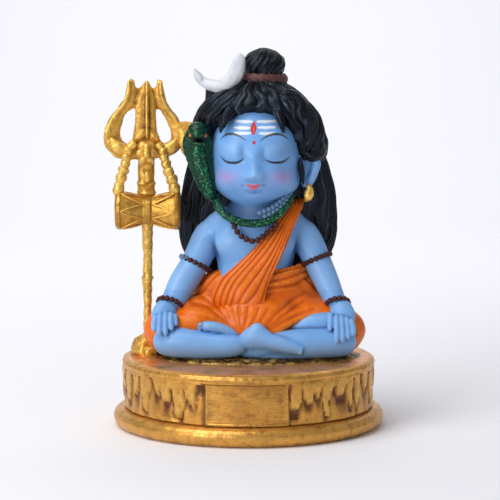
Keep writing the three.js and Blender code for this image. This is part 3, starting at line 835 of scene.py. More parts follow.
def leg_shape():
    """The bare shins, the crossed feet and the thigh that shows above them."""
    clay = Clay((-29, -17, -0.6), (29, 3, 15), pitch=0.34)
    shin = [[-24.5, -6.6, 4.6], [-19, -8.6, 4.6], [-13.5, -10.0, 4.2], [-7.5, -11.2, 4.1], [-2, -11.8, 4.2]]
    clay.tube(shin, [4.3, 4.0, 3.6, 3.2, 2.9], [4.4, 4.2, 3.7, 3.2, 2.9], soft=0.8)
    left_shin = [[24.3, -5.8, 4.6], [18, -8.4, 4.5], [9, -9.9, 4.1], [-6, -10.2, 3.2]]
    clay.tube(left_shin, [4.4, 3.9, 3.7, 3.0], [4.4, 4.2, 3.9, 3.0], soft=0.3)
    thigh = [[7, -5.6, 6.8], [11, -6.6, 8.0], [15, -6.9, 8.9], [20, -6.4, 8.8], [24.6, -4.8, 6.4]]
    clay.tube(thigh, [2.2, 2.6, 2.9, 3.1, 3.8], soft=0.3)
    foot = [
        [-3.4, -11.9, 4.6], [0.3, -12.4, 6.2], [3.4, -13.0, 5.4],
        [7.2, -13.4, 4.4], [10.2, -13.5, 3.5], [11.2, -13.4, 3.0],
    ]
    clay.tube(foot, [2.8, 3.1, 2.1, 1.8, 1.25, 0.7], [2.5, 2.4, 1.9, 1.5, 1.1, 0.7], soft=0.6)
    clay.ball([0.6, -12.4, 8.3], [1.5, 1.4, 1.5], soft=1.0)
    toes = 4
    for i in range(toes):
        clay.ball([11.3 - 0.1 * i, -13.9, 3.7 - 0.42 * i], [0.6, 0.5, 0.32], soft=0.16)
    under = [[-1, -16.0, 0.4], [4, -15.8, 1.6], [9, -15.4, 0.8], [14, -15.0, 0.4]]
    clay.tube(under, [1.2, 1.7, 1.3, 0.9], [3.2, 3.2, 2.8, 2.4], soft=0.4, carve=True)
    hidden_foot = [[-13.0, -11.0, 9.0], [-11, -11.3, 8.9], [-8.4, -11.2, 8.4], [-4.2, -10.6, 6.4]]
    clay.tube(hidden_foot, [1.1, 1.25, 1.25, 1.0], [1.5, 1.6, 1.5, 1.2], soft=0.15, blunt=7)
    for i in range(toes):
        clay.ball([-13.3 - 0.05 * i, -12.3 + 0.55 * i, 9.5 - 0.4 * i], [0.7, 0.5, 0.5], soft=0.15)
    return clay.surface().hollows_and_ridges(reach=16, height=0.25)


# The cloth: the wrap over hips and thighs, the waist folds and the sash.


# X and Z of the valleys that run together in the lap.
LAP_VALLEYS = (
    ([-15.9, 14.2], [-11.8, 13.1], [-8.6, 11.0], [-5.3, 8.6], [-3.7, 6.9]),
    ([-14.7, 15.9], [-10.6, 13.9], [-7.6, 11.4], [-5.7, 9.0], [-4.0, 7.2]),
    ([-11.8, 16.4], [-9.0, 14.4], [-6.5, 11.3], [-4.5, 8.2]),
    ([-18.4, 11.6], [-14.6, 11.4], [-11.0, 10.6]),
    ([-6.2, 13.6], [-5.0, 11.0], [-3.9, 8.4]),
    ([-3.8, 13.4], [-3.6, 10.4], [-3.2, 7.6]),
    ([-1.6, 13.2], [-2.2, 10.2], [-2.8, 7.6]),
    ([1.0, 13.0], [-0.4, 10.2], [-2.0, 7.6]),
    ([3.4, 12.8], [1.4, 10.2], [-0.6, 7.6]),
    ([11.9, 14.2], [8.6, 12.3], [5.8, 10.2], [3.3, 8.0]),
    ([12.9, 16.2], [10.6, 15.4], [7.4, 13.4], [4.6, 10.9], [2.9, 8.4]),
    ([14.8, 12.6], [10.7, 11.3], [6.6, 9.6], [3.9, 7.9]),
)


def pleat(x):
    """A soft fold: round crests with narrow valleys between whole numbers, from -1 to 1."""
    share = x - np.floor(x)
    return 1 - 2 * np.abs(2 * share - 1) ** 1.7


def lap_folds(places, depth, folds):
    """Folds gathered in the lap, seen from the front, and long easy ones round the sides and back."""
    x, y, z = places[..., 0], places[..., 1], places[..., 2]
    x = x + 0.3 * noise(places, 4.0, 2.0)
    seam = 0.0
    for line in LAP_VALLEYS:
        seam = np.maximum(seam, stroke(x, z, line, [0.03, 0.08, 0.09, 0.04], 0.7))
    front = (1 - smoothstep(-4.5, 0.5, y)) * smoothstep(3.0, 7.0, z)
    turn = np.arctan2(places[..., 0], y) / np.pi
    drape = pleat(turn * folds + 0.9 * noise(places, 7.0, 8.0) + z * 0.05)
    soft = noise(places, 3.4, 5.0)
    fine = noise(places * np.array([1, 1, 0.6]), 1.6, 4.0)
    return depth * ((0.3 - 1.1 * seam) * front + 0.7 * drape * (1 - front) + 0.3 * soft + 0.1 * fine)


def wrap_shape(cloth):
    """The wrap over hips and thighs, cut away where the bare legs lie in it."""
    clay = Clay((-29, -15, -0.8), (29, 15, 25), pitch=0.36)
    clay.ball([0, 0.5, 6.8], [18.6, 11.0, 8.6])
    for s in (-1, 1):
        thigh = mirrored(s, [[6, 1.5, 8.0], [13, -1.6, 8.2], [20, -2.8, 7.0], [26.9, -3.2, 5]])
        clay.tube(thigh, [7.4, 7.0, 6.2, 4.0], soft=1.2)
    hips = [[0.4, 2.6, 5], [0.5, 2.8, 13], [0.6, 3.8, 21.4]]
    clay.tube(hips, [17.4, 16.2, 14.2], [12.2, 9.6, 7.2], soft=1.4)
    clay.ball([-14.2, -7.8, 9.8], [5.2, 3.2, 3.3], soft=1.2)
    clay.ball([0.5, -7.6, 8.0], [9.5, 3.4, 6.4], soft=2.6)
    clay.press(lambda places: lap_folds(places, cloth.fold_depth / MM, cloth.lap_folds))
    bare = [
        [4.5, -12.6, 3.4], [8, -12, 4.4], [11, -11.4, 6.0],
        [14.4, -11, 7.6], [18, -10.4, 7.8], [27, -9.4, 6.4],
    ]
    clay.tube(bare, [3.4, 3.5, 3.8, 4.1, 4.1, 3.2], [4, 4.2, 4.2, 4.2, 4.2, 4], soft=0.3, carve=True)
    shin = [[-30, -10.8, 3.2], [-20, -13, 4.2], [-9, -14.6, 4.2], [-1, -15.2, 3.4], [6, -15.4, 3]]
    clay.tube(shin, [4.2, 4.2, 4, 3.4, 3], soft=0.3, carve=True)
    return clay.surface().hollows_and_ridges(reach=12, height=0.3)


def ribbed(count, depth, seed):
    """Folds that run along the cloth at the waist."""

    def relief(t, angle):
        wander = 0.25 * np.sin(5.0 * t + seed) + 0.35 * np.sin(11.0 * t + 2.3 * angle + seed)
        return depth * pleat(count * angle / TURN + 0.5 * wander)

    return relief


def waist_shape(cloth):
    """The folded cloth round the waist, higher at the figure's left, in a back half and a front half."""
    clay = Clay((-18, -14, 10), (18, 13, 26), pitch=0.36)
    turn = np.linspace(0, TURN, 25) + np.pi / 2
    x, y = np.cos(turn), np.sin(turn)
    path = np.stack([0.6 + 11.6 * x, 2.9 + 8.0 * y, 17.6 + 1.7 * x + 0.4 * y], -1)
    for start in (0, 12):
        half = path[start : start + 13]
        relief = ribbed(11, cloth.fold_depth / MM * 0.7, start)
        clay.tube(half, [1.4], [3.5], facing=(0, 0, 1), relief=relief, soft=0.5, steps=30, blunt=40)
    return clay.surface().hollows_and_ridges(reach=10, height=0.22)


SASH_FOLDS = 7


def sash_shape(cloth):
    """The sash, from behind the left shoulder down to the lap."""
    path = [
        [10.2, 6.4, 35.4], [10.4, 3.0, 38.0], [10.0, -1.0, 37.4], [7.9, -3.2, 34],
        [5.6, -4.9, 30], [3.4, -5.5, 26.6], [0.9, -6.1, 23], [-1.4, -6.9, 19.8],
        [-3.2, -7.6, 16.8], [-4.2, -7.5, 13.8], [-4.6, -5.4, 10.6],
    ]
    widths = [2.2, 1.9, 1.8, 2.2, 2.8, 3.4, 4.1, 5.1, 6.4, 6.9, 6.4]
    depths = [0.9, 0.9, 0.9, 1.0, 1.1, 1.1, 1.1, 1.2, 1.2, 1.1, 1.0]
    depth = cloth.fold_depth / MM

    def folds(t, angle, places):
        across = np.cos(angle) + 0.13 * np.sin(6.0 * t + 2.8 * np.cos(angle))
        lane = SASH_FOLDS * (0.5 * across + 0.5) + 0.5 * noise(places, 9.0, 3.0)
        ridge = crest(lane)
        uneven = 0.66 + 0.3 * np.sin(2.3 * np.floor(lane) + 5.0 * t) + 0.25 * noise(places, 4.0, 5.0)
        front = smoothstep(-0.15, 0.25, np.sin(angle))
        # Painted highlight on the fold crests and painted shade in the valleys, on the front of the sash.
        marks = {
            "ridge": front * np.clip(2.2 * ridge - 1.5, 0, 1) * 0.8,
            "hollow": front * np.clip(1 - 2.6 * ridge, 0, 1),
        }
        return 1.05 * depth * front * uneven * (ridge ** 0.8 - 0.6), marks

    return tube(path, widths, depths, sides=220, rings=130, facing=(-0.1, -1, 0.25), blunt=14, relief=folds)


# The head and its painted features, drawn looking straight ahead and then turned a little.


FACE_TURN = math.radians(-3.6)
HEAD_MIDDLE = np.array([0.3, 0.0, 0.0])
HEAD_CENTRE = np.array([0.0, -0.5, 50.8])
HEAD_RADII = np.array([10.9, 11.3, 14.2])
# Brush lines of the brows and of the closed lashes, as X and Z.
BROWS = (
    [[-8.3, 54.5], [-6.9, 55.6], [-5.3, 55.9], [-3.6, 55.5], [-1.8, 54.4]],
    [[1.7, 54.3], [3.3, 55.4], [5.2, 55.9], [6.9, 55.6], [8.5, 54.5]],
)
LASHES = (
    [[-8.1, 50.2], [-6.7, 49.2], [-5.0, 48.95], [-3.6, 49.15], [-2.4, 49.9]],
    [[3.0, 49.8], [4.3, 49.2], [5.8, 49.05], [7.2, 49.2], [8.6, 50.2]],
)
# Rises and hollows in the middle of the face: height, middle and size.
FACE_RISES = (
    (0.75, (0.3, 48.8), (1.5, 3.6)),  # bridge of the nose
    (1.35, (0.4, 45.9), (2.1, 1.7)),  # tip of the nose
    (-0.08, (0.35, 44.2), (1.5, 0.45)),  # groove above the lips
    (0.85, (0.05, 43.0), (2.5, 1.25)),  # lips
    (-0.35, (0.1, 41.6), (1.8, 0.5)),  # hollow under the lips
    (1.1, (0.2, 40.2), (2.9, 1.7)),  # chin
)
# Left and right ends of the ash stripes on the brow.
ASH_STRIPES = (
    ([-4.6, 58.95], [-0.3, 58.85]),
    ([-4.7, 57.4], [-0.65, 57.4]),
    ([-4.8, 56.1], [-0.75, 56.15]),
    ([0.8, 58.9], [5.4, 58.95]),
    ([1.1, 57.5], [5.1, 57.5]),
    ([1.5, 56.1], [5.1, 56.1]),
)


def bump(x, z, middle, size):
    """A round rise on the face, 1 in its middle."""
    return np.exp(-(((x - middle[0]) / size[0]) ** 2) - ((z - middle[1]) / size[1]) ** 2)


def stroke(x, z, points, widths, edge=0.1):
    """How far a brush stroke covers each place of the face, from 0 to 1."""
    t = np.linspace(0, 1, 22)
    line = spline(points, t)
    half = profile(widths, t)
    best = np.full(x.shape, 9.0)
    for i in range(len(t) - 1):
        dx, dz = line[i + 1] - line[i]
        s = np.clip(((x - line[i, 0]) * dx + (z - line[i, 1]) * dz) / (dx * dx + dz * dz), 0, 1)
        away = np.hypot(x - line[i, 0] - s * dx, z - line[i, 1] - s * dz)
        best = np.minimum(best, away - half[i] - s * (half[i + 1] - half[i]))
    return 1 - smoothstep(-edge, edge, best)


def face_relief(x, z):
    """How far the features stand out of the plain head."""
    out = 0.0
    for s, lash in zip((-1, 1), LASHES):
        lid = bump(x, z, (s * 5.7, 51.5), (3.5, 2.75))
        below = stroke(x, z, lash, [0.25], 0.9)
        out = out + 1.5 * lid ** 0.8 - 0.32 * below
        out = out + 0.35 * bump(x, z, (s * 5.4, 55.6), (4.2, 1.3))
        out = out + 1.0 * bump(x, z, (s * 6.3, 45.0), (4.2, 3.6))
        out = out + 0.42 * bump(x, z, (0.38 + s * 1.8, 45.3), (0.95, 0.95))
        out = out - 0.3 * bump(x, z, (s * 2.5, 51.3), (1.0, 2.0))
    for height, middle, size in FACE_RISES:
        out = out + height * bump(x, z, middle, size)
    mouth = [[-2.1, 43.3], [-0.8, 43.05], [0.05, 43.15], [0.9, 43.05], [2.2, 43.3]]
    return out - 0.3 * stroke(x, z, mouth, [0.08], 0.28)


def face_colours(x, z, front, skin):
    """The painted face: skin, blush, painted shade and highlights round the eyes, nose and mouth, ash
    stripes, third eye, brows, closed lashes and lips.
    """
    colour = np.ones((*x.shape, 4))
    colour[..., :3] = skin.colour

    def lay(cover, paint):
        share = (cover * front)[..., None]
        colour[..., :3] = colour[..., :3] * (1 - share) + np.array(paint) * share

    for s in (-1, 1):
        lay(0.55 * bump(x, z, (s * 6.9, 45.4), (2.8, 1.6)), skin.blush)
        # Painted shade at the inner corners of the eyes and a painted highlight on each lid.
        lay(0.24 * bump(x, z, (s * 2.6, 51.4), (0.9, 1.8)), skin.shade_and_mottle)
        lay(0.3 * bump(x, z, (s * 5.6, 52.6), (2.0, 1.2)), skin.highlight_and_specks)
    # Painted shade under the nose, at the corners of the mouth and under the lower lip.
    lay(0.08 * bump(x, z, (0.3, 44.6), (1.6, 0.7)), skin.shade_and_mottle)
    for side in (-2.75, 2.65):
        lay(0.6 * bump(x, z, (side, 43.5), (0.38, 0.34)), skin.shade_and_mottle)
    lay(0.3 * bump(x, z, (0.1, 41.5), (1.6, 0.4)), skin.shade_and_mottle)
    # Painted highlights on the bridge and the tip of the nose.
    lay(0.22 * bump(x, z, (0.5, 47.6), (0.6, 1.3)), skin.highlight_and_specks)
    lay(0.35 * bump(x, z, (0.5, 46.1), (1.1, 0.8)), skin.highlight_and_specks)
    # Painted shade beside the nostrils.
    for side in (-1.5, 2.3):
        lay(0.22 * bump(x, z, (side, 45.0), (0.6, 0.5)), skin.shade_and_mottle)
    white = tint(238, 244, 252)
    for start, end in ASH_STRIPES:
        middle = [(start[0] + end[0]) / 2, (start[1] + end[1]) / 2 - 0.03]
        lay(stroke(x, z, [start, middle, end], [0.2, 0.36, 0.34, 0.22], 0.08), white)
    red, ember = tint(196, 22, 34), tint(236, 96, 40)
    third_eye = [[0.02, 59.0], [-0.02, 57.6], [-0.03, 56.2]]
    glow = [[0.05, 57.9], [0.0, 57.0], [0.0, 56.4]]
    lay(stroke(x, z, third_eye, [0.1, 0.5, 0.72, 0.42], 0.08), red)
    lay(0.9 * stroke(x, z, glow, [0.05, 0.2, 0.16], 0.1), ember)
    lay(stroke(x, z, [[0.2, 53.95], [0.24, 53.85]], [0.4], 0.08), red)
    ink = tint(24, 26, 34)
    for brow in BROWS:
        lay(stroke(x, z, brow, [0.05, 0.22, 0.3, 0.22, 0.06], 0.08), tint(52, 46, 44))
    for lash in LASHES:
        lay(stroke(x, z, lash, [0.08, 0.24, 0.32, 0.28, 0.1], 0.08), ink)
    coral = tint(226, 84, 104)
    upper = [[-1.95, 43.55], [-0.95, 43.6], [0.05, 43.4], [1.05, 43.6], [2.05, 43.55]]
    lower = [[-1.0, 43.05], [0.05, 42.8], [1.1, 43.05]]
    parting = [[-1.7, 43.4], [0.05, 43.1], [1.8, 43.4]]
    lay(stroke(x, z, upper, [0.05, 0.26, 0.24, 0.26, 0.05], 0.1), coral)
    lay(stroke(x, z, lower, [0.16, 0.4, 0.16], 0.12), coral)
    lay(0.7 * stroke(x, z, parting, [0.03, 0.08, 0.03], 0.12), tint(150, 40, 62))
    return colour


def head_shape(skin):
    """The head: an egg with jowls and features, its corners crowded towards the face."""
    sides, rings = 260, 190
    crowding = 0.62
    theta = np.arange(1, rings) / rings * np.pi
    facing = circle(sides) - np.pi
    turn = (facing - crowding * np.sin(facing))[None, :]
    rise, level = np.cos(theta)[:, None], np.sin(theta)[:, None]
    z = HEAD_CENTRE[2] + HEAD_RADII[2] * (rise - 0.09 * np.sin(np.pi * rise)) + 0 * turn
    jowl = 1 + 0.3 * np.exp(-(((z - 41.7) / 3.9) ** 2))
    temple = 1 + 0.1 * np.exp(-(((z - 57.5) / 4.0) ** 2))
    x = np.sin(turn) * level * HEAD_RADII[0] * jowl * temple
    front = smoothstep(0.1, 0.6, np.cos(turn) * level)
    chin = 1 + 0.14 * np.exp(-(((z - 43.2) / 4.2) ** 2))
    y = HEAD_CENTRE[1] - np.cos(turn) * level * HEAD_RADII[1] * chin - front * face_relief(x, z)
    marks = {"paint": face_colours(x, z, front, skin)}
    cosine, sine = math.cos(FACE_TURN), math.sin(FACE_TURN)
    places = np.stack([x * cosine - y * sine, x * sine + y * cosine, z], -1) + HEAD_MIDDLE
    return shell(places, marks).hollows_and_ridges(reach=40, height=0.5)


# How far the right ear, with its earring, is drawn in under the cobra and the hair.
HIDDEN_EAR = np.array([1.4, 1.4, 2.6])


def ear_shape(s):
    """An ear. The cobra hides the one on the figure's right, which lies closer to the head."""
    low, high = sorted((s * 10.4, s * 18.5))
    clay = Clay((low, -5.5, 37), (high, 4, 56), pitch=0.2)
    rim = [
        [10.4, -2.6, 50.2], [13.4, -2.4, 50.1], [15.2, -1.8, 48.5],
        [14.6, -1.6, 46.0], [13.7, -1.9, 43.9], [12.8, -2.2, 42.4],
    ]
    flap = [[12.8, -1.4, 50.2], [13.4, -1.2, 46], [12.4, -1.4, 42.4]]
    fold = [[13.6, -3.2, 48.9], [13.5, -3.0, 46.9], [12.9, -3.0, 45.0]]
    widths, depths = [0.9, 1.0, 1.1, 1.0, 1.0, 1.1], [1.1, 1.2, 1.3, 1.2, 1.1, 1.0]
    clay.tube(mirrored(s, rim), widths, depths, soft=0.5)
    clay.tube(mirrored(s, flap), [2.4, 2.0, 1.3], [0.9, 0.9, 0.8], soft=0.7)
    clay.tube(mirrored(s, fold), [0.45, 0.5, 0.35], [0.9, 0.9, 0.7], soft=0.5, carve=True)
    if s < 0:
        clay.low = clay.low + HIDDEN_EAR
    return clay.surface(relax=1).hollows_and_ridges(reach=14, height=0.2)


# The hair: combed surfaces whose locks and strands follow their flow.


def crest(x):
    """A rounded ridge between whole numbers, 0 in the groove and 1 on top."""
    share = x - np.floor(x)
    return 1 - (2 * share - 1) ** 2


# Strands are painted on a cylinder: so many locks go round it, and it has this radius.
COMB_ROUND = 8
COMB_REACH = 12.0


def combed(across, along, places, strands, depth, seed):
    """Relief and marks of combed hair. `across` counts its locks, `strands` is how many lie on each."""
    wander = 0.36 * noise(places, 5.0, seed) + 0.08 * noise(places, 1.8, seed + 3)
    locks = across + wander
    fine = locks * strands + 0.16 * noise(places, 1.4, seed + 7)
    lock, strand = crest(locks), crest(fine)
    uneven = 0.6 + 0.4 * noise(np.stack([np.floor(fine) * 1.7, along * 0.8, 0 * along], -1), 1.0, seed)
    height = depth * (0.55 * np.sqrt(lock) + 0.45 * strand * uneven)
    turn = TURN * locks / COMB_ROUND
    comb = np.stack([COMB_REACH * np.cos(turn), COMB_REACH * np.sin(turn), along * 1.4], -1)
    marks = {
        # `ridge` carries the grey dry brush and painted highlight of the crests, `hollow` the painted shade
        # of the grooves.
        "ridge": np.clip(strand * uneven * (0.35 + 0.65 * lock), 0, 1),
        "hollow": np.clip((1 - lock) ** 3 + 0.6 * (1 - strand) ** 4, 0, 1),
        "comb": comb,
    }
    return height, marks


def hair_limb(points, widths, depths, depth, locks, strands, twist, sides, rings, seed, blunt=5):
    """A roll of hair: `locks` of `strands` each go round it and turn by `twist` locks along it."""

    def relief(t, angle, places):
        return combed(locks * angle / TURN + twist * t, t * len(points) * 2, places, strands, depth, seed)

    return tube(points, widths, depths, sides, rings, blunt=blunt, relief=relief)


# X from the middle of the face, and the height of the hair's edge there.
HAIRLINE = np.array([
    [-12.6, 57.4], [-11.5, 58.2], [-8.6, 58.8], [-6.9, 60.4], [-5.2, 61.7], [-2.4, 62.2], [0, 62.0],
    [2.4, 62.2], [4.6, 61.8], [6.6, 60.6], [8.9, 57.8], [10.4, 55.6], [11.5, 51.5], [12.2, 47.5],
])


def crown_shape(hair):
    """The dome of hair from the topknot down, drawn away from the face to both sides."""
    sides, rings = 420, 76
    centre, radii = np.array([0.7, 1.6, 56.0]), np.array([14.5, 11.5, 12.6])
    theta = (np.arange(1, rings) / rings * np.pi * 0.86)[:, None]
    facing = (circle(sides) - np.pi)[None, :]
    level, rise = np.sin(theta), np.cos(theta)
    way = np.stack([level * np.sin(facing), -level * np.cos(facing), rise + 0 * facing], -1)
    places = centre + way * radii
    sweep = facing - 0.62 * np.sin(facing) * smoothstep(0.15, 1.5, theta)
    locks = sweep / TURN * 19
    height, marks = combed(locks, theta * 4 + 0 * facing, places, 3, hair.strand_depth / MM, 1.0)
    y, z = places[..., 1], places[..., 2]
    fringe = 0.8 * smoothstep(0, 5.0, -y) * smoothstep(58, 63, z) * (1 - smoothstep(66, 69, z))
    places = places + way * (height + fringe)[..., None]
    line = np.interp(places[..., 0] - HEAD_MIDDLE[0], HAIRLINE[:, 0], HAIRLINE[:, 1])
    ragged = 0.25 * noise(places, 0.9, 4.0)
    under = smoothstep(-0.25, 0.35, line + ragged - places[..., 2]) * (places[..., 1] < -1.0)
    places = centre + (places - centre) * (1 - 0.32 * under)[..., None]
    return shell(places, marks)


def hair_shapes(hair):
    """The crown, then rolls, a side wave, locks on the brow and by the ear, and last the hair behind."""
    depth = hair.strand_depth / MM
    left_path = [
        [3.4, -4.6, 65.0], [7.6, -5.0, 63.6], [10.9, -4.2, 60.4], [12.7, -2.6, 57.2],
        [13.7, -1.0, 54], [14.3, 0.2, 50.6], [14.0, 1.0, 47.6],
    ]
    right_path = [
        [-1.6, -4.8, 65.2], [-5.6, -5.0, 63.7], [-9.4, -3.8, 61.2],
        [-11.6, -0.8, 58.2], [-12.6, 2.6, 54], [-12.6, 4.4, 47.6],
    ]
    wave_path = [
        [10.8, -5.4, 62.0], [13.4, -4.4, 58.4], [14.9, -3.0, 54.4],
        [15.6, -2.6, 51.2], [13.8, -3.4, 50.2], [11.9, -3.8, 51.6],
    ]
    rolls = [
        hair_limb(
            right_path, [1.4, 2.7, 3.1, 2.9, 2.8, 2.0], None, depth,
            locks=5, strands=3, twist=-2.0, sides=150, rings=90, seed=4.0,
        ),
        hair_limb(
            left_path, [1.4, 2.8, 3.3, 3.5, 3.4, 3.3, 1.9], None, depth,
            locks=5, strands=3, twist=2.6, sides=150, rings=96, seed=6.0,
        ),
        hair_limb(
            wave_path, [0.6, 1.2, 1.5, 1.4, 1.1, 0.5], None, depth * 0.7,
            locks=3, strands=3, twist=0.8, sides=64, rings=64, seed=10.0,
        ),
    ]

    def spike(s):
        inward = 0.7 * (s + 1)
        path = [
            [s * 5.0, -8.0, 62.6],
            [s * 6.8 - 0.6 * inward, -8.9, 60.4],
            [s * 7.8 - 0.9 * inward, -9.1, 58.2],
            [s * 8.5 - inward, -9.0, 56.0],
        ]
        return hair_limb(
            path, [1.3, 0.9, 0.55, 0.12], [0.8, 0.6, 0.45, 0.15], depth * 0.5,
            locks=2, strands=4, twist=0, sides=40, rings=34, seed=3.0 + s, blunt=3,
        )

    ear_lock = hair_limb(
        [[11.0, -4.6, 49.6], [11.5, -4.6, 46.4], [12.0, -4.2, 43.0]], [0.5, 0.7, 0.3], None, 0.1,
        locks=2, strands=3, twist=0, sides=28, rings=24, seed=5.0, blunt=4,
    )
    curtain = [[0.9, 4.5, 58], [0.9, 6.5, 46.5], [0.9, 7.6, 35.5], [0.9, 8, 27], [0.9, 8, 17.5]]
    behind = hair_limb(
        curtain, [13, 17.2, 19.2, 18.6, 14.3], [8, 6.2, 4.8, 3.7, 2.4], depth * 1.1,
        locks=17, strands=4, twist=0.9, sides=420, rings=80, seed=2.0, blunt=9,
    )
    return [crown_shape(hair), *rolls, *both(spike), ear_lock, behind]


def topknot_shapes(hair):
    """The hair drawn up to the band, and the coil above it."""
    depth = hair.strand_depth / MM
    drawn_up = [[2.4, 2, 62.6], [2.3, 1.8, 67], [2.3, 1.7, 70.5]]
    foot = hair_limb(
        drawn_up, [8.2, 5.8, 4.2], None, depth * 0.8,
        locks=9, strands=3, twist=0.3, sides=220, rings=36, seed=6.0, blunt=8,
    )

    def coil(theta, turn, places):
        return combed(turn / TURN * 6 + 1.5 * theta / np.pi, theta * 3, places, 3, depth * 0.9, 8.0)

    return [foot, ellipsoid([2.3, 1.6, 72.3], [4.7, 4.6, 3.6], sides=170, rings=60, relief=coil)]


def band_shape(centre, radii, tilt, thickness):
    """A cord of twisted strands closed round the topknot."""
    cords, turns, sides, steps = 2, 7, 20, 150
    a, b = circle(steps)[:, None], circle(sides)[None, :]
    swell = thickness * (0.82 + 0.18 * np.abs(np.cos(cords * (b + turns * a / 2))))
    x = (radii[0] + swell * np.cos(b)) * np.cos(a)
    y = (radii[1] + swell * np.cos(b)) * np.sin(a)
    z = swell * np.sin(b) * 1.25 + x * tilt[0] + y * tilt[1]
    grid = np.stack([x, y, z], -1) + centre
    at = np.arange(steps * sides).reshape(steps, sides)
    down, right = np.roll(at, -1, axis=0), np.roll(at, -1, axis=1)
    quads = np.stack([at, down, np.roll(down, -1, axis=1), right], -1).reshape(-1, 4)
    return Shape(grid.reshape(-1, 3), quads).hollows_and_ridges(reach=10, height=0.15)


# The crescent moon, the cobra and the small gold pieces.


# X and Z along the crescent, from its low tip to the one against the topknot.
MOON_ARC = [
    [-15.0, 71.6], [-14.2, 69.8], [-12.7, 68.2], [-10.2, 67.3], [-8.3, 67.2],
    [-6.6, 68.0], [-5.2, 69.5], [-4.3, 71.5], [-3.8, 73.6], [-3.5, 75.3],
]


def moon_shape():
    """The crescent, bowed forward where it lies over the hair."""
    arc = [[x, -0.8 - 2.3 * math.exp(-(((x + 6.5) / 3.6) ** 2)), z] for x, z in MOON_ARC]

    def hand_made(t, angle, places):
        return 0.16 * noise(places, 2.2, 3.0) + 0.07 * noise(places, 0.8, 1.0), {}

    widths = [0.55, 0.95, 1.2, 1.5, 1.7, 1.85, 1.95, 1.9, 1.6, 1.05]
    depths = [0.5, 0.8, 1.0, 1.3, 1.4, 1.4, 1.3, 1.2, 1.0, 0.7]
    moon = tube(arc, widths, depths, sides=48, rings=90, blunt=12, relief=hand_made)
    return moon.hollows_and_ridges(reach=14, height=0.14)


def scaly(rows, columns, depth):
    """Rows of small overlapping scales round a tube."""

    def relief(t, angle, places):
        row = t * rows
        column = angle / TURN * columns + 0.5 * (np.floor(row) % 2)
        share = row - np.floor(row)
        scale = np.sqrt(np.clip(crest(column), 0, 1)) * (0.35 + 0.65 * share)
        return depth * scale, {"ridge": np.clip(scale ** 3, 0, 1), "hollow": np.clip(1 - 2.2 * scale, 0, 1)}

    return relief


def cobra_body():
    """The body looped under the chin."""
    path = [
        [-9, 1.5, 41.4], [-9.9, -2.6, 39.8], [-7.6, -5.4, 36], [-2.6, -6.5, 33.9],
        [3.0, -6.5, 34.2], [6.9, -5.4, 37.0], [8.8, -3.2, 39.9], [9.2, 0.2, 42],
    ]
    radii = [1.0, 0.96, 0.92, 0.92, 0.92, 0.92, 0.9, 0.8]
    coil = tube(path, radii, sides=44, rings=220, blunt=12, relief=scaly(rows=58, columns=14, depth=0.16))
    coil.marks["belly"] = np.ones(len(coil.corners))
    return coil


SNOUT = -13.9
EYES = (2.05, -8.0, 55.4)
MOUTH_HEIGHT = 54.2
BELLY_PLATES = 21


def cobra_hood():
    """The raised hood and head, with belly plates down the front, eyes and a mouth."""
    clay = Clay((-19.5, -11, 37), (-7, -1, 61.5), pitch=0.17)
    hood = [
        [-10.7, -4.6, 39.6], [-12.2, -4.8, 44], [-13.5, -4.9, 48.8],
        [-14.2, -5.0, 53.2], [-14.3, -5.0, 57.2],
    ]
    clay.tube(hood, [1.6, 2.3, 3.0, 3.65, 2.7], [1.4, 1.15, 1.05, 1.2, 1.6], soft=0.5, blunt=8)
    clay.ball([-14.0, -6.0, 56.8], [2.5, 2.7, 2.0], soft=0.7)
    clay.ball([SNOUT, -7.6, 55.8], [1.95, 1.7, 1.35], soft=0.6)
    for s in (-1, 1):
        clay.ball([SNOUT + s * 1.75, -7.6, 55.4], [0.5, 0.6, 0.5], soft=0.25)
    lips = [[-15.9, -7.6, 54.4], [SNOUT, -9.2, 54.15], [-12.0, -7.6, 54.4]]
    clay.tube(lips, [0.4], [0.35], soft=0.2, carve=True)
    clay.ball([SNOUT, -6.9, 53.6], [1.6, 1.4, 0.6], soft=0.35)
    belly = [
        [SNOUT, -6.0, 53.4], [-13.8, -6.2, 50.4], [-13.0, -6.1, 46.6],
        [-11.9, -5.9, 42.8], [-11.0, -5.7, 40],
    ]

    def ribs(t, angle):
        return 0.22 * crest(t * BELLY_PLATES) ** 0.6 - 0.12

    clay.tube(
        belly, [1.2, 1.45, 1.4, 1.2, 0.9], [0.6, 0.65, 0.65, 0.55, 0.4], soft=0.18, steps=60, relief=ribs
    )

    def scales(places):
        x, z = places[:, 0] * 1.25, places[:, 2] * 1.25
        lattice = np.abs(np.sin(np.pi * (x + z))) * np.abs(np.sin(np.pi * (x - z)))
        return 0.09 * np.sqrt(lattice) - 0.05

    clay.press(scales, 0.8)
    shape = clay.surface(relax=1).hollows_and_ridges(reach=10, height=0.13)
    x, y, z = shape.corners.T
    line = spline(belly, np.linspace(0, 1, 40))
    middle = np.interp(-z, -line[:, 2], line[:, 0])
    front = np.interp(-z, -line[:, 2], line[:, 1])
    shape.marks["belly"] = ((np.abs(x - middle) < 1.5) & (y < front) & (z < 54)).astype(float)
    side = np.minimum(np.abs(x - SNOUT - EYES[0]), np.abs(x - SNOUT + EYES[0]))
    away = np.sqrt(side ** 2 + (y - EYES[1]) ** 2 + (z - EYES[2]) ** 2)
    shape.marks["eye"] = 1 - smoothstep(0.35, 0.5, away)
    level = 1 - smoothstep(0.5, 0.75, np.abs(z - MOUTH_HEIGHT))
    shape.marks["mouth"] = level * (y < -6.9) * (np.abs(x - SNOUT) < 1.9)
    return shape


# The trident, its drum and bead garland, from the axis of the shaft.


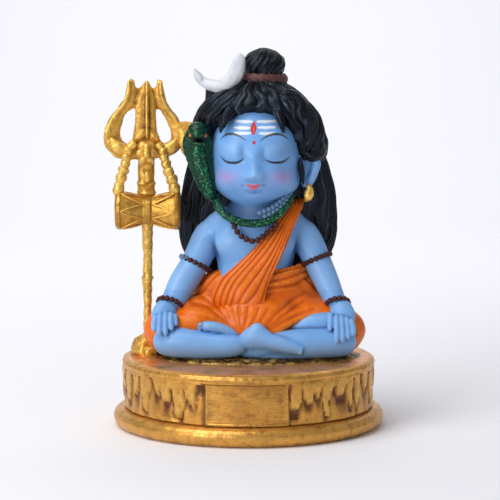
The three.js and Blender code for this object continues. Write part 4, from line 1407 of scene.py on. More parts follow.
# X and Z down each outer prong from its tip, with the half widths there.
PRONGS = {
    -1: (
        [
            [-3.3, 68.7], [-3.3, 66.0], [-4.0, 63.2], [-5.9, 60.8], [-7.6, 57.6],
            [-8.2, 54.8], [-7.6, 52.6], [-5.2, 50.9], [0.4, 50.4],
        ],
        [1.0, 1.25, 1.4, 1.35, 1.85, 2.1, 2.3, 2.1, 1.6],
    ),
    1: (
        [
            [3.6, 68.6], [3.5, 66.0], [4.1, 63.2], [5.5, 60.8], [7.2, 58.2],
            [7.9, 55.2], [7.6, 52.8], [5.2, 51.2], [0.4, 50.4],
        ],
        [0.9, 1.05, 1.2, 1.25, 1.5, 1.4, 1.7, 1.7, 1.6],
    ),
}
BLADE_MIDDLE = 0.6
DRUM_HEIGHT = 36.3
DRUM_DEPTH = -1.6
DRUM_REACH = 8.1
DRUM_END = 4.8
DRUM_WAIST = 3.1
DRUM_SIDES, DRUM_ROWS = 120, 130
# Turn and rise of each petal of the bud under the blade, in radians.
BUD_PETALS = (
    (0.4, 1.0), (1.6, 0.95), (2.7, 1.0), (0.5, 0.1), (1.6, 0.1), (2.6, 0.1), (1.0, -0.6), (2.2, -0.6)
)


def trident_shape():
    """The prongs, the ridged blade between them, the flower bud, and the post down to the drum."""
    m = BLADE_MIDDLE
    bud = np.array([m - 0.1, -2.4, 50.4])
    clay = Clay((-11.5, -6.2, 36), (11.5, 4, 70.5), pitch=0.24)
    for s in (-1, 1):
        line, widths = PRONGS[s]
        prong = [[x, 0, z] for x, z in line]
        clay.tube(prong, widths, [0.9, 0.95, 1, 1, 1.1, 1.2, 1.3, 1.2, 1.1], soft=0.5, steps=44, blunt=16)
        rim = [[x + 0.55 * s * w, -1.0, z] for (x, z), w in zip(line[:7], widths)]
        clay.tube(rim, [0.5, 0.5, 0.55, 0.6, 0.75, 0.8, 0.5], [0.45], soft=0.3, steps=34, blunt=14)
        shoulder = mirrored(s, [[8.4, -1.1, 54.0], [6.6, -1.6, 52.0], [3.6, -1.5, 50.9]])
        clay.tube(shoulder, [0.9, 1.5, 1.2], [0.7, 0.9, 0.7], soft=0.35)
    tip_web = [[0.3, 0.2, 67.6], [0.3, 0.2, 64.4], [0.3, 0.2, 61.0]]
    clay.tube(tip_web, [2.9, 3.7, 3.6], [0.5, 0.6, 0.5], soft=0.7)
    for s, half in ((-1, 2.9), (1, 2.2)):
        face = [
            [m + s * half * 0.2, -0.3, 68.2],
            [m + s * half * 0.45, -0.45, 63],
            [m + s * half * 0.55, -0.45, 57.6],
            [m + s * half * 0.7, -0.3, 53.6],
        ]
        widths = [0.4, half * 0.5, half * 0.52, half * 0.62]
        clay.tube(face, widths, [0.5, 0.75, 0.8, 0.8], soft=0.3, steps=30, blunt=12)
    ridge = [[m, -0.6, 68.6], [m, -1.5, 64], [m, -1.7, 58], [m, -1.6, 54]]
    clay.tube(ridge, [0.3, 0.42, 0.45, 0.4], [0.5, 0.75, 0.8, 0.7], soft=0.8, steps=30, blunt=14)
    for s in (-1, 1):
        barb = [[m + s * 0.6, -0.9, 56.4], [m + s * 1.7, -1.0, 54.9], [m + s * 2.9, -0.8, 54.0]]
        clay.tube(barb, [0.4, 1.0, 0.6], [0.5, 0.7, 0.5], soft=0.5)
    clay.tube([[-3.0, 0, 53.0], [0.4, -0.4, 53.3], [3.9, 0, 53.0]], [1.4], [0.9], soft=0.6)
    clay.ball(bud, [2.35, 2.2, 3.0], soft=0.3)
    luck = np.random.default_rng(4)
    for turn, rise in BUD_PETALS:
        way = np.array([-math.cos(turn) * math.cos(rise), -math.sin(turn) * math.cos(rise), math.sin(rise)])
        clay.ball(bud + way * [1.8, 1.7, 2.3], luck.uniform([0.9] * 3, [1.25] * 3), soft=0.22)
    stalk = [[m - 0.1, -2.2, 49.4], [m - 0.1, -2.4, 47.6], [m, -2.0, 46.4]]
    clay.tube(stalk, [2.1, 1.3, 0.5], [1.7, 1.2, 0.6], soft=0.3)
    stem = [[m, -2.1, 46.4], [m, -2.3, 45.2], [m, -2.2, 43.5]]
    clay.tube(stem, [0.7, 0.78, 0.7], [0.6], soft=0.2, blunt=14)
    post = [[0.3, 0, 50.5], [0.25, 0, 46], [0.25, 0, 42], [0.4, 0, 37]]
    clay.tube(post, [2.3, 2.1, 2.1, 2.2], [1.6, 1.5, 1.5, 1.7], soft=0.5)
    for z, r in ((43.0, 2.35), (40.6, 2.5)):
        clay.ball([0.3, 0, z], [r, r * 0.8, 0.7], soft=0.4)
    clay.press(lambda p: 0.07 * noise(p, 1.5, 2.0) + 0.05 * noise(p, 0.7, 5.0))
    for s in (-1, 1):
        for x, z in ((s * 1.9 + 0.3, 67.6), (s * 1.3 + 0.5, 68.4)):
            clay.ball([x, 0.2, z], [0.8, 1.4, 0.9], soft=0.3, carve=True)
    shape = clay.surface(relax=1).hollows_and_ridges(reach=12, height=0.2)
    x, _, z = shape.corners.T
    # Darkens the blade's left flank.
    flank = smoothstep(m + 0.1, m - 0.5, x) * smoothstep(m - 3.4, m - 3.1, x) * smoothstep(54.6, 56.0, z)
    return shape.darkened(0.2 * flank)


def shaft_shape():
    """The shaft, with a fin of mould flash down one side and two rings half way."""

    def cast(t, angle, places):
        z = places[..., 2]
        seam = np.maximum(0, np.cos(angle - 0.2)) ** 24
        flash = 0.55 * seam * np.clip(noise(places, 3.0, 2.0) * 1.6, 0, 1)
        rings = 0.5 * np.exp(-(((z - 19.2) / 0.28) ** 2)) + 0.3 * np.exp(-(((z - 18.4) / 0.2) ** 2))
        return flash + rings + 0.12 * noise(places, 1.5, 6.0) + 0.08 * noise(places, 0.6, 1.0), {}

    path = [[-0.2, 0, 36], [-0.2, 0, 30], [-0.2, 0, 24], [-0.3, 0, 12], [-0.4, 0, -1]]
    shaft = tube(path, [1.6, 1.35, 1.15, 1.0, 1.0], sides=36, rings=140, blunt=20, relief=cast)
    return shaft.hollows_and_ridges(reach=14, height=0.16)


def drum_shape():
    """Two bowls of the drum joined at the waist, lying along X."""
    reach, end = DRUM_REACH, DRUM_END
    half = [
        [0, 3.5], [0.7, 3.5], [1.0, DRUM_WAIST],
        [reach - 1.6, end - 0.15], [reach - 1.3, end + 0.1], [reach - 0.5, end],
        [reach, end - 0.5], [reach, end - 1.1], [reach - 0.35, end - 1.4], [reach - 0.35, 0.4],
    ]
    outline = np.array([[-x, r] for x, r in reversed(half)] + [[x, r] for x, r in half[1:]])
    legs = np.concatenate([[0], np.cumsum(np.linalg.norm(np.diff(outline, axis=0), axis=1))])
    at = np.linspace(0, legs[-1], DRUM_ROWS)
    x, r = np.interp(at, legs, outline[:, 0])[:, None], np.interp(at, legs, outline[:, 1])[:, None]
    turn = circle(DRUM_SIDES)[None, :]
    places = np.stack([x + 0 * turn, DRUM_DEPTH + r * np.cos(turn), DRUM_HEIGHT + r * np.sin(turn)], -1)
    rough = 0.14 * noise(places, 2.0, 4.0) + 0.08 * noise(places, 0.8, 1.0)
    away = np.stack([0 * x + 0 * turn, np.cos(turn) + 0 * x, np.sin(turn) + 0 * x], -1)
    return shell(places + away * rough[..., None]).hollows_and_ridges(reach=10, height=0.3)


def lacing_shapes():
    """Cords that cross between the rims and the waist of the drum."""
    cords = []
    crossings = 6
    t = np.linspace(0, 1, 5)
    for s in (-1, 1):
        x = s * (1.0 + t * (DRUM_REACH - 2.4))
        r = DRUM_WAIST + 0.2 + (DRUM_END - DRUM_WAIST) * (np.abs(x) - 1) / (DRUM_REACH - 2.6)
        for i in range(crossings):
            for lean in (-0.5, 0.5):
                turn = TURN * (i + 0.5 + lean * t) / crossings
                path = np.stack([x, DRUM_DEPTH - r * np.cos(turn), DRUM_HEIGHT + r * np.sin(turn)], -1)
                cords.append(
                    tube(path, [0.22, 0.26, 0.22], sides=10, rings=20, facing=(0, 0.3, 1), blunt=9)
                )
    return join(cords)


# Lines of the bead garland on both sides, from the bud down to the drum.
GARLAND = {
    -1: [
        [-2.2, -2.2, 53.4], [-4.0, -2.4, 51.4], [-4.5, -2.5, 49.2],
        [-5.0, -2.5, 47.0], [-5.8, -2.5, 44.6], [-6.7, -2.5, 40.6],
    ],
    1: [
        [3.4, -2.2, 53.2], [4.4, -2.4, 51.4], [4.9, -2.5, 49.2],
        [5.7, -2.5, 46.8], [6.7, -2.5, 44.2], [7.6, -2.5, 40.8],
    ],
}


def garland_shape():
    """Chunky cast beads that hang from the bud to the drum on both sides."""
    beads = []
    knots = 7
    for s, line in GARLAND.items():
        path = spline(line, np.linspace(0, 1, knots + 1))
        for i in range(knots):
            start, end = path[i], path[i + 1]
            radius = 1.0 + 0.04 * i

            def dented(t, angle, places, seed=s * knots + i):
                return 0.22 * noise(places, 0.9, seed), {}

            knot = [start, (start + end) / 2, end + 0.3 * (end - start)]
            radii = [radius * 0.9, radius * 1.15, radius * 0.9]
            beads.append(tube(knot, radii, sides=20, rings=14, blunt=7, relief=dented))
        backing = [[x, -1.2, z] for x, _, z in line]
        beads.append(tube(backing, [0.9, 1.0, 1.0, 1.0, 1.0, 0.9], [0.7], sides=16, rings=40, blunt=9))
    return join(beads).hollows_and_ridges(reach=8, height=0.2)


def web_shape():
    """The skin of resin that ties the right prong to the cobra's hood."""

    def rough(t, angle, places):
        return 0.18 * noise(places, 1.4), {}

    plate = [[-17.6, 1.0, 58.4], [-17.2, 0.4, 56.0], [-17.1, 0.2, 53.0], [-17.3, 0.6, 50.0]]
    tie = [[-18.4, 2, 56.8], [-17.3, -1, 57.2], [-15.9, -4.2, 56.8]]
    webs = [
        tube(plate, [1.6, 1.9, 1.7, 1.0], [0.7, 0.8, 0.8, 0.6], sides=32, rings=30, relief=rough),
        tube(tie, [1.6, 1.5, 1.8], [0.8], sides=28, rings=24, relief=rough),
    ]
    return join(webs).hollows_and_ridges(reach=8, height=0.2)


# The round base with its poured edge, the blank panel, the ground and the stone.


BASE_WALL = 30.2
BASE_RIM = 31.6
BASE_FOOT = 33.8
FOOT_HEIGHT = 4.8
PANEL_WIDTH = 19.6
PANEL_SHIFT = -0.3
PANEL_HEIGHT = 10.6
PANEL_PROUD = 1.2
PANEL_EDGE = 0.6
BEVEL_FALL = 2.6
POUR_FALL = 3.3
# Angle in degrees, half width and tip height of the runs that show beside the panel.
SEEN_RUNS = (
    (-79, 2.2, 9.6), (-70, 2.0, 7.8), (-61, 1.7, 10.4), (-53, 1.9, 7.0),
    (-44.5, 1.7, 11.2), (-39.5, 1.4, 9.6), (-32.5, 1.9, 5.9), (-26, 1.5, 9.4),
    (21.5, 1.7, 8.4), (27.5, 1.5, 10.0), (32.4, 1.3, 11.2), (37.2, 1.3, 6.8),
    (46, 1.9, 10.6), (52, 1.2, 8.2), (58, 1.3, 7.2), (66, 1.8, 10.4), (75, 1.9, 7.6),
)


def drip_runs(count):
    """Angle, half width in radians and tip height of each run. The ones behind fall by chance."""
    luck = np.random.default_rng(5)
    hidden = max(count - len(SEEN_RUNS), 6)
    step = 190 / hidden
    runs = list(SEEN_RUNS)
    for i in range(hidden):
        angle = 85 + (i + luck.uniform(0.1, 0.9)) * step
        runs.append((angle, luck.uniform(1.1, 2.5), luck.uniform(5.8, 12.2)))
    return [(math.radians(angle), width / BASE_WALL, tip) for angle, width, tip in runs]


def base_outline():
    """Radii and heights from the middle of the top round to the middle of the underside."""
    top, rim, wall, foot = BASE_HEIGHT, BASE_RIM, BASE_WALL, BASE_FOOT
    # Radius, height and the number of steps to the next mark.
    marks = [
        [0.5, top, 6], [26, top, 5], [rim - 1.2, top, 8], [rim - 0.3, top - 0.45, 5], [rim, top - 1.2, 5],
        [rim - 0.2, top - 2.0, 6], [wall + 0.1, top - BEVEL_FALL, 8],
        [wall, 6.2, 38], [wall, 4.9, 5], [wall + 0.4, 4.72, 4],
    ]
    for rise in np.radians([95, 70, 48, 28, 10, -8, -28, -50, -75]):
        marks.append([foot - 2.5 + 2.5 * math.cos(rise), 2.35 + 2.35 * math.sin(rise), 4])
    marks += [[foot - 2.4, 0, 3], [0.5, 0, 0]]
    outline = []
    for (r, z, steps), (next_r, next_z, _) in zip(marks, marks[1:]):
        share = np.arange(steps) / steps
        outline.append([r + share * (next_r - r), z + share * (next_z - z)])
    return np.concatenate(outline, axis=1)


def base_shape(base):
    """The whole turned base with its poured edge and its bare panel."""
    r, z = base_outline()[:, :, None]
    sides = 440
    turn = (circle(sides) - np.pi)[None, :]
    level = 0 * turn
    x, y = np.sin(turn), -np.cos(turn)
    places = np.stack([r * x, r * y, z + level], -1)
    lip = BASE_HEIGHT - BEVEL_FALL
    arch = BASE_HEIGHT - POUR_FALL + 0.9 * np.sin(5.3 * turn + 1.0) + 0.7 * np.sin(13.0 * turn)
    edge = arch
    bent = turn + 0.55 / BASE_WALL * noise(places, 2.4, 8.0)
    for angle, half, tip in drip_runs(base.drips):
        off = np.abs((bent - angle + np.pi) % TURN - np.pi) / half
        edge = np.minimum(edge, tip + (arch - tip) * np.minimum(off, 1.6) ** 3.2)
    edge = edge + 0.3 * noise(places, 1.4, 3.0)
    on_wall = r > BASE_WALL - 0.5
    wall = smoothstep(4.75, 5.05, z) * np.clip((lip + 0.65 - z) / 0.65, 0, 1) * on_wall
    poured = smoothstep(-0.4, 0.34, z - edge)
    under = np.exp(-np.clip(edge - z, 0, 9) / 1.5) * (1 - poured)
    depth = base.drip_depth / MM
    bare_wall = (1 - poured) * (1 - under)
    out = wall * (depth * poured + 0.8 * depth * bare_wall + 0.14 * noise(places, 2.6, 6.0))

    aside = np.abs(turn * BASE_WALL - PANEL_SHIFT) - PANEL_WIDTH / 2
    above = np.abs(z - (FOOT_HEIGHT + PANEL_HEIGHT / 2)) - PANEL_HEIGHT / 2
    inside = np.maximum(aside, above)
    panel = smoothstep(0.12, -0.12, inside) * on_wall * (z > 4.9)
    framed = PANEL_PROUD - 0.2 * smoothstep(-PANEL_EDGE + 0.15, -PANEL_EDGE - 0.15, inside)
    along = turn * BASE_WALL * 0.3 + 0 * z
    brushed = noise(np.stack([along, level * z, 3.4 * z + level], -1), 1.0, 9.0)
    flush = BASE_WALL + framed + 0.07 * noise(places, 2.6, 9.0) + 0.05 * brushed - r
    out = out * (1 - panel) + flush * panel
    out = out - 0.5 * np.exp(-((inside - 0.35) / 0.3) ** 2) * wall * (z < BASE_HEIGHT - 2.2)

    worn_rim = 0.16 * noise(places, 3.2, 1.0) + 0.1 * noise(places, 1.1, 2.0)
    grain = worn_rim * (0.35 + 0.65 * smoothstep(BASE_HEIGHT - 4, BASE_HEIGHT - 1, z)) * (z > 0.35)
    places[..., 0] += (out + grain) * x
    places[..., 1] += (out + grain) * y
    places[..., 2] += 0.12 * noise(places, 5.0, 3.0) * smoothstep(2, 6, r) * (z > BASE_HEIGHT - 0.1)

    on_top = smoothstep(BASE_HEIGHT - 0.5, BASE_HEIGHT - 0.2, z)
    # A pale pink tint in patches over the top inside the rim.
    dust = np.broadcast_to(on_top * smoothstep(BASE_RIM - 0.6, BASE_RIM - 1.8, r), places.shape[:2])
    dust = dust * smoothstep(-0.6, 0.3, noise(places, 3.0, 2.0))
    comb = np.stack([along, level * z, 2.6 * z + level], -1)
    marks = {"dust": dust, "comb": comb, "brushed": panel + 0.35 * wall}
    return shell(places, marks).hollows_and_ridges(reach=22, height=0.3)


def ground_shape():
    """The mound of rough ground under the legs."""

    def clods(theta, turn, places):
        lump = 0.35 * noise(places, 2.2, 5.0) + 0.3 * noise(places, 0.9, 2.0)
        return lump * smoothstep(-0.5, 0.6, places[..., 2]), {}

    ground = ellipsoid([0, -0.5, -0.1], [26.6, 15.2, 1.7], sides=300, rings=64, relief=clods)
    return ground.hollows_and_ridges(reach=10, height=0.25)


def stone_shape():
    """The lumpy stone that holds the shaft."""
    clay = Clay((-7, -8, -1), (7, 8, 8), pitch=0.24)
    clay.ball([0, 0, 0], [4.5, 5.4, 5.4])
    luck = np.random.default_rng(11)
    for i in range(22):
        turn, rise = luck.uniform(0, TURN), luck.uniform(0.0, 1.15)
        way = np.array([math.cos(turn) * math.cos(rise), math.sin(turn) * math.cos(rise), math.sin(rise)])
        middle = way * [4.1, 4.9, 4.9] * luck.uniform(0.85, 1.0)
        clay.ball(middle, luck.uniform([0.8] * 3, [1.7] * 3), soft=0.35)
    clay.press(lambda p: 0.35 * noise(p, 1.5, 2.0) + 0.2 * noise(p, 0.7, 7.0))
    return clay.surface(relax=1).hollows_and_ridges(reach=12, height=0.35)


def earring_shape(s):
    """A gold drop under an ear."""

    def dented(t, angle, places):
        return 0.08 * noise(places, 0.9), {}

    drop = mirrored(s, [[12.9, -3.2, 43.4], [13.5, -3.6, 41.9], [13.2, -3.7, 40.2], [12.4, -3.4, 38.8]])
    shape = tube(drop, [0.35, 0.9, 1.15, 0.5], sides=28, rings=26, relief=dented)
    return shape.moved(HIDDEN_EAR * (s < 0)).hollows_and_ridges(reach=8, height=0.15)


# Sizes and colours that can be changed in the sidebar.


def colour_of(label, shade, note):
    return bpy.props.FloatVectorProperty(
        name=label, description=note, default=shade, subtype="COLOR", size=3, min=0, max=1
    )


def length_of(label, millimetres, note):
    return bpy.props.FloatProperty(
        name=label, description=note, default=millimetres * MM, unit="LENGTH", min=0, precision=5
    )


def number_of(label, value, note, **limits):
    kind = bpy.props.IntProperty if isinstance(value, int) else bpy.props.FloatProperty
    return kind(name=label, description=note, default=value, **limits)


class SkinSettings(bpy.types.PropertyGroup):
    colour: colour_of("Skin", tint(116, 172, 232), "Main blue of face, body and limbs")
    # Darker blue for patches of tone and for painted shade in the hollows and on the face.
    shade_and_mottle: colour_of("Creases", tint(38, 70, 116), "Darker blue left in the hollows")
    # Pale blue for specks and for painted highlights on the ridges, the lids and the nose.
    highlight_and_specks: colour_of("Light", tint(164, 198, 236), "Pale blue rubbed on what stands out")
    blush: colour_of("Blush", tint(190, 124, 186), "Pink laid on the cheeks")


class HairSettings(bpy.types.PropertyGroup):
    colour: colour_of("Hair", tint(10, 11, 13), "Near-black of the hair")
    # Grey for the dry brush and the painted highlight along the strands.
    rub: colour_of("Dry brush", tint(132, 148, 178), "Grey brushed over the strands")
    strand_depth: length_of("Strand depth", 1.0, "How deep the combed grooves are")


class ClothSettings(bpy.types.PropertyGroup):
    colour: colour_of("Cloth", tint(234, 106, 8), "Orange of the wrap and the sash")
    # Painted shade in the folds, with a darker brushed wash.
    fold: colour_of("Folds", tint(118, 36, 5), "Brown-orange left in the folds")
    # Painted highlight on the crests, with a lighter rub.
    rub: colour_of("Crests", tint(250, 152, 50), "Light orange on the crests")
    fold_depth: length_of("Fold depth", 0.42, "How far the folds stand out")
    lap_folds: number_of("Lap folds", 13, "Folds that hang round the sides and the back", min=4, max=40)


class CobraSettings(bpy.types.PropertyGroup):
    colour: colour_of("Scales", tint(2, 62, 42), "Dark green of the scales")
    gap: colour_of("Gaps", tint(2, 18, 14), "Green-black between the scales")
    glint: colour_of("Glint", tint(96, 214, 150), "Light green on the scales' edges")
    eye: colour_of("Eyes", tint(238, 132, 28), "Orange of the eyes")


class GoldSettings(bpy.types.PropertyGroup):
    bright: colour_of("Bright gold", tint(224, 170, 68), "Gold of the trident and drum")
    aged: colour_of("Aged gold", tint(216, 154, 68), "Gold of the base")
    wash: colour_of("Wash", tint(88, 44, 28), "Brown left in the hollows of the gold")
    shine: colour_of("Shine", tint(250, 208, 110), "Gold rubbed on the edges")


class BeadSettings(bpy.types.PropertyGroup):
    colour: colour_of("Beads", tint(74, 34, 30), "Maroon of the seed beads")
    rub: colour_of("Bead crests", tint(138, 84, 76), "Lighter brown on top of the beads")
    necklace: length_of("Necklace bead", 0.74, "Radius of a necklace bead")
    bracelet: length_of("Bracelet bead", 0.68, "Radius of an armlet or bracelet bead")


class BaseSettings(bpy.types.PropertyGroup):
    drips: number_of("Runs", 38, "Runs of the poured edge round the base", min=24, max=80)
    drip_depth: length_of("Run depth", 1.2, "How far the runs stand out of the wall")


class StageSettings(bpy.types.PropertyGroup):
    floor: colour_of("Floor", tint(247, 247, 250), "Pale floor and backdrop")
    reach: length_of("Floor reach", 900, "From the middle of the floor to the backdrop")
    light: number_of("Light", 1.0, "Strength of the soft lights", min=0)
    lens: number_of("Lens", 151.0, "Focal length in millimetres", unit="CAMERA")


GROUPS = {
    "figurine_skin": SkinSettings,
    "figurine_hair": HairSettings,
    "figurine_cloth": ClothSettings,
    "figurine_cobra": CobraSettings,
    "figurine_gold": GoldSettings,
    "figurine_beads": BeadSettings,
    "figurine_base": BaseSettings,
    "figurine_stage": StageSettings,
}


def settings(name):
    return getattr(bpy.context.scene, "figurine_" + name)


def bright_gold():
    gold = settings("gold")
    return bpy.data.materials.get("Bright gold paint") or gold_paint(
        "Bright gold paint", gold.bright, gold.wash, gold.shine, metallic=0.55, gloss=(0.2, 0.4),
        grain=0.08, stain=0.34,
    )


class FIGURINE_OT_body(bpy.types.Operator):
    """Adds the trunk, arms, hands, legs and feet"""

    bl_idname = "figurine.body"
    bl_label = "Body"

    def execute(self, context):
        material = skin_paint("Blue skin paint", settings("skin"))
        for name, shape in (
            ("trunk_and_arms", trunk_shape()),
            ("hands", join(both(hand_shape))),
            ("legs_and_feet", leg_shape()),
            ("ears", join(both(ear_shape))),
        ):
            add_piece(name, shape, SEAT, material)
        return {"FINISHED"}


class FIGURINE_OT_head(bpy.types.Operator):
    """Adds the head with its painted face"""

    bl_idname = "figurine.head"
    bl_label = "Head"

    def execute(self, context):
        skin = settings("skin")
        material = skin_paint("Painted face", skin, painted=True)
        add_piece("head", head_shape(skin), SEAT, material)
        return {"FINISHED"}


class FIGURINE_OT_cloth(bpy.types.Operator):
    """Adds the wrap over the thighs, the waist folds and the sash"""

    bl_idname = "figurine.cloth"
    bl_label = "Cloth"

    def execute(self, context):
        cloth = settings("cloth")
        # Painted shade in the folds and painted highlight on the crests, over a brushed wash and rub.
        material = hollow_and_crest_paint(
            "Orange cloth paint", cloth.colour, cloth.fold, cloth.rub, gloss=(0.22, 0.4), lift_share=0.85
        )
        for name, shape in (("lap_wrap", wrap_shape), ("waist_folds", waist_shape), ("sash", sash_shape)):
            add_piece(name, shape(cloth), SEAT, material)
        return {"FINISHED"}


class FIGURINE_OT_hair(bpy.types.Operator):
    """Adds the crown of hair, the rolls, the curtain behind, the topknot and its band"""

    bl_idname = "figurine.hair"
    bl_label = "Hair"

    def execute(self, context):
        hair = settings("hair")
        material = hair_paint("Brushed black hair", hair)
        crown, *rolls, behind = hair_shapes(hair)
        for name, shape in (
            ("hair_crown", crown),
            ("hair_rolls", join(rolls)),
            ("hair_behind", behind),
            ("topknot", join(topknot_shapes(hair))),
        ):
            add_piece(name, shape, SEAT, material)
        # The cord: near-black painted shade between its strands and a lighter painted highlight on their
        # crests.
        cord = hollow_and_crest_paint("Maroon cord paint", tint(70, 38, 36), tint(18, 8, 10), tint(126, 84, 80))
        band = band_shape([2.43, 1.73, 69.1], [4.7, 4.5], [-0.04, 0.01], 1.15)
        add_piece("topknot_band", band, SEAT, cord)
        return {"FINISHED"}


class FIGURINE_OT_moon(bpy.types.Operator):
    """Adds the crescent moon and the stub of hair that carries it"""

    bl_idname = "figurine.moon"
    bl_label = "Moon"

    def execute(self, context):
        # Grey painted shade in the moon's hollows and a paler painted highlight on its ridges.
        white = hollow_and_crest_paint(
            "White moon paint", tint(212, 215, 220), tint(120, 124, 136), tint(236, 237, 241),
            gloss=(0.22, 0.4),
        )
        add_piece("crescent_moon", moon_shape(), SEAT, white)
        rising = [[-11, 0.6, 67.4], [-10.8, 0.6, 65.4], [-10.4, 0.8, 62.6]]
        stub = hair_limb(
            rising, [1.1, 1.3, 2.0], None, 0.2, locks=4, strands=3, twist=0.2, sides=48, rings=30, seed=2.0
        )
        add_piece("moon_stub", stub, SEAT, bpy.data.materials["Brushed black hair"])
        return {"FINISHED"}


def cobra_paint(name, cobra):
    """Dark green paint with a metal glint, lighter along the edges of scales and belly plates."""
    paint = Paint(name)
    patches = paint.ranged(paint.noise(3.0, 4.0), 0.35, 0.7, 0.0, 0.6)
    coat = paint.mix(patches, cobra.colour, cobra.gap)
    coat = paint.mix(paint.product(paint.mark("hollow"), 0.85), coat, cobra.gap)
    lit = paint.product(paint.mark("ridge"), paint.ranged(paint.noise(0.8, 3.0), 0.5, 0.62, 0.02, 0.3))
    coat = paint.mix(lit, coat, cobra.glint)
    dashes = paint.product(paint.ranged(paint.noise(0.5, 2.0), 0.55, 0.66), paint.mark("belly"))
    coat = paint.mix(paint.product(dashes, 0.56), coat, cobra.glint)
    coat = paint.mix(paint.mark("eye"), coat, cobra.eye)
    coat = paint.mix(paint.mark("mouth"), coat, tint(6, 10, 10))
    paint.bumps([(paint.cells(0.5), 0.05), (paint.noise(0.4, 2.0), 0.02)])
    roughness = paint.ranged(paint.noise(1.6, 3.0), 0.3, 0.7, 0.18, 0.34)
    return paint.finish(coat, roughness, specular=0.3, metallic=0.2)


class FIGURINE_OT_cobra(bpy.types.Operator):
    """Adds the cobra: its body looped under the chin and its raised hood"""

    bl_idname = "figurine.cobra"
    bl_label = "Cobra"

    def execute(self, context):
        material = cobra_paint("Green cobra paint", settings("cobra"))
        add_piece("cobra_hood", cobra_hood(), SEAT, material)
        add_piece("cobra_coil", cobra_body(), SEAT, material)
        return {"FINISHED"}


class FIGURINE_OT_trident(bpy.types.Operator):
    """Adds the trident, its drum and garland, the web of resin to the hood and the gold earrings"""

    bl_idname = "figurine.trident"
    bl_label = "Trident"

    def execute(self, context):
        for name, shape, place in (
            ("trident_head", trident_shape(), SHAFT + HEAD_LEAN),
            ("bead_garland", garland_shape(), SHAFT + HEAD_LEAN),
            ("trident_shaft", shaft_shape(), SHAFT),
            ("drum", join([drum_shape(), lacing_shapes().hollows_and_ridges(reach=4, height=0.2)]), SHAFT),
            ("resin_web", web_shape(), SEAT),
            ("earrings", join(both(earring_shape)), SEAT),
        ):
            add_piece(name, shape, place, bright_gold())
        return {"FINISHED"}


class FIGURINE_OT_beads(bpy.types.Operator):
    """Adds the necklace, armlets and bracelets as strings of seed beads"""

    bl_idname = "figurine.beads"
    bl_label = "Beads"

    def execute(self, context):
        beads = settings("beads")
        seed = hollow_and_crest_paint(
            "Seed bead paint", beads.colour, tint(20, 10, 12), beads.rub, gloss=(0.3, 0.5), bumps=0.05
        )
        bare = hollow_and_crest_paint("Bare bead paint", tint(104, 136, 174), tint(38, 52, 78), tint(150, 176, 206))
        t = np.linspace(0, 1, 40)
        necklace = spline(NECKLACE, t)
        large, small = beads.necklace / MM, beads.bracelet / MM
        count = int(length_along(necklace) / (1.7 * large))
        bead_string("necklace", necklace, SEAT, seed, count, large)
        for name, centre, radii, tilt, bare_share in BEAD_RINGS:
            path = ring_path(centre, radii, tilt)
            count = int(length_along(path) / (1.72 * small))
            kept = int(len(path) * (1 - bare_share))
            bead_string(name, path[:kept], SEAT, seed, int(count * (1 - bare_share)), small)
            if bare_share:
                bead_string(
                    name + "_bare", path[kept:], SEAT, bare, int(count * bare_share), small
                )
        for i, row in enumerate(BARE_ROWS):
            bead_string("bare_beads_%d" % (i + 1), spline(row, t), SEAT, bare, 9, 0.62)
        return {"FINISHED"}


class FIGURINE_OT_base(bpy.types.Operator):
    """Adds the round base, the ground under the legs and the stone that holds the shaft"""

    bl_idname = "figurine.base"
    bl_label = "Base"

    def execute(self, context):
        gold = settings("gold")
        aged = gold_paint(
            "Aged gold paint", gold.aged, gold.wash, gold.shine, metallic=0.65, gloss=(0.24, 0.44),
            wash_share=0.9, grain=0.05, rub=0.5, stain=0.4,
        )
        # The ground's dark brown is partly its own colour and partly painted shade under the legs.
        glitter = gold_paint(
            "Glitter ground", tint(96, 58, 18), tint(32, 17, 8), gold.shine, glitter=0.7, metallic=0.6,
            grain=0.12,
        )
        add_piece("base", base_shape(settings("base")), FLOOR, aged)
        add_piece("ground", ground_shape(), SEAT, glitter)
        add_piece("stone", stone_shape(), SHAFT, bright_gold())
        return {"FINISHED"}


# Places on the stage, in metres. A light has its place, what it is turned to, its size and its power.
LIGHTS = (
    ("Top light", (-0.25, -0.17, 0.52), (0, 0, 0.045), 0.36, 1.78),
    ("Left light", (-0.38, -0.5, 0.22), (0, 0, 0.045), 0.26, 1.4),
    ("Backdrop light", (0, 0.42, 0.5), (0, 0.72, 0), 0.5, 1.55),
)
CAMERA_SPOT, CAMERA_AIM = (0.0004, -0.52, 0.102), (0.0004, 0, 0.0436)
SKY_COLOUR, SKY_STRENGTH = (0.93, 0.94, 1.0, 1.0), 0.36


def aimed(name, data, spot, aim):
    """Adds a light or a camera, turned to a place."""
    thing = bpy.data.objects.new(name, data)
    bpy.context.scene.collection.objects.link(thing)
    thing.location = spot
    thing.rotation_euler = (Vector(aim) - Vector(spot)).to_track_quat("-Z", "Y").to_euler()
    return thing


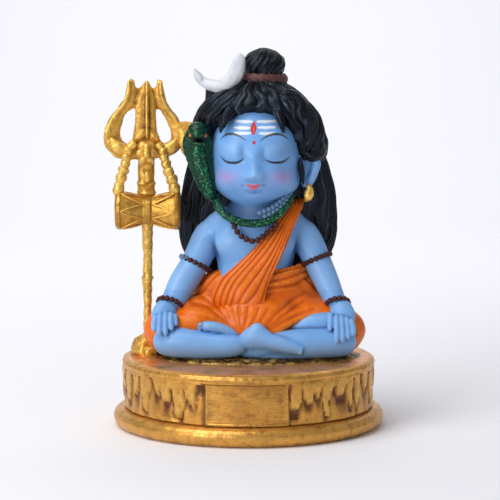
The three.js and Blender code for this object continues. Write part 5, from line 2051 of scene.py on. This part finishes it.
class FIGURINE_OT_stage(bpy.types.Operator):
    """Adds the pale floor and backdrop, the soft lights and the camera"""

    bl_idname = "figurine.stage"
    bl_label = "Stage"

    def execute(self, context):
        stage, scene = settings("stage"), context.scene
        reach, bend, steps = stage.reach, stage.reach * 0.5, 16
        rows = [(-reach, 0.0), (reach - bend, 0.0)]
        for i in range(1, steps + 1):
            turn = math.pi / 2 * i / steps
            rows.append((reach - bend * (1 - math.sin(turn)), bend * (1 - math.cos(turn))))
        rows.append((reach, reach * 1.6))
        corners = [(x, y, z) for y, z in rows for x in (-reach * 1.6, reach * 1.6)]
        faces = [(2 * i, 2 * i + 1, 2 * i + 3, 2 * i + 2) for i in range(len(rows) - 1)]
        mesh = bpy.data.meshes.new("backdrop")
        mesh.from_pydata(corners, [], faces)
        mesh.polygons.foreach_set("use_smooth", [True] * len(faces))
        backdrop = bpy.data.objects.new("backdrop", mesh)
        scene.collection.objects.link(backdrop)
        mesh.materials.append(Paint("Pale backdrop").finish(stage.floor, 0.8))
        world = bpy.data.worlds.new("Studio")
        world.use_nodes = True
        sky = world.node_tree.nodes["Background"].inputs
        sky["Color"].default_value = SKY_COLOUR
        sky["Strength"].default_value = SKY_STRENGTH * stage.light
        scene.world = world
        for name, spot, aim, size, power in LIGHTS:
            light = bpy.data.lights.new(name, "AREA")
            light.energy, light.size = power * stage.light, size
            aimed(name, light, spot, aim)
        camera = bpy.data.cameras.new("Camera")
        camera.lens, camera.sensor_fit = stage.lens, "AUTO"
        camera.sensor_width = camera.sensor_height = 36
        scene.camera = aimed("Camera", camera, CAMERA_SPOT, CAMERA_AIM)
        scene.view_settings.view_transform = "Standard"
        return {"FINISHED"}


OPERATORS = (
    FIGURINE_OT_stage,
    FIGURINE_OT_body,
    FIGURINE_OT_head,
    FIGURINE_OT_cloth,
    FIGURINE_OT_hair,
    FIGURINE_OT_moon,
    FIGURINE_OT_cobra,
    FIGURINE_OT_trident,
    FIGURINE_OT_beads,
    FIGURINE_OT_base,
)


class FIGURINE_PT_sidebar(bpy.types.Panel):
    """Lists the sizes, the colours and the pieces of the figurine"""

    bl_idname = "FIGURINE_PT_sidebar"
    bl_label = "Figurine"
    bl_space_type = "VIEW_3D"
    bl_region_type = "UI"
    bl_category = "Figurine"

    def draw(self, context):
        for name, group in GROUPS.items():
            box = self.layout.box()
            for field in group.__annotations__:
                box.prop(getattr(context.scene, name), field)
        for operator in OPERATORS:
            self.layout.operator(operator.bl_idname)


def register():
    for group in (*GROUPS.values(), *OPERATORS, FIGURINE_PT_sidebar):
        bpy.utils.register_class(group)
    for name, group in GROUPS.items():
        setattr(bpy.types.Scene, name, bpy.props.PointerProperty(type=group))


def unregister():
    for name in GROUPS:
        delattr(bpy.types.Scene, name)
    for group in reversed((*GROUPS.values(), *OPERATORS, FIGURINE_PT_sidebar)):
        bpy.utils.unregister_class(group)


def main():
    register()
    for operator in OPERATORS:
        family, name = operator.bl_idname.split(".")
        getattr(getattr(bpy.ops, family), name)()


if __name__ == "__main__":
    main()
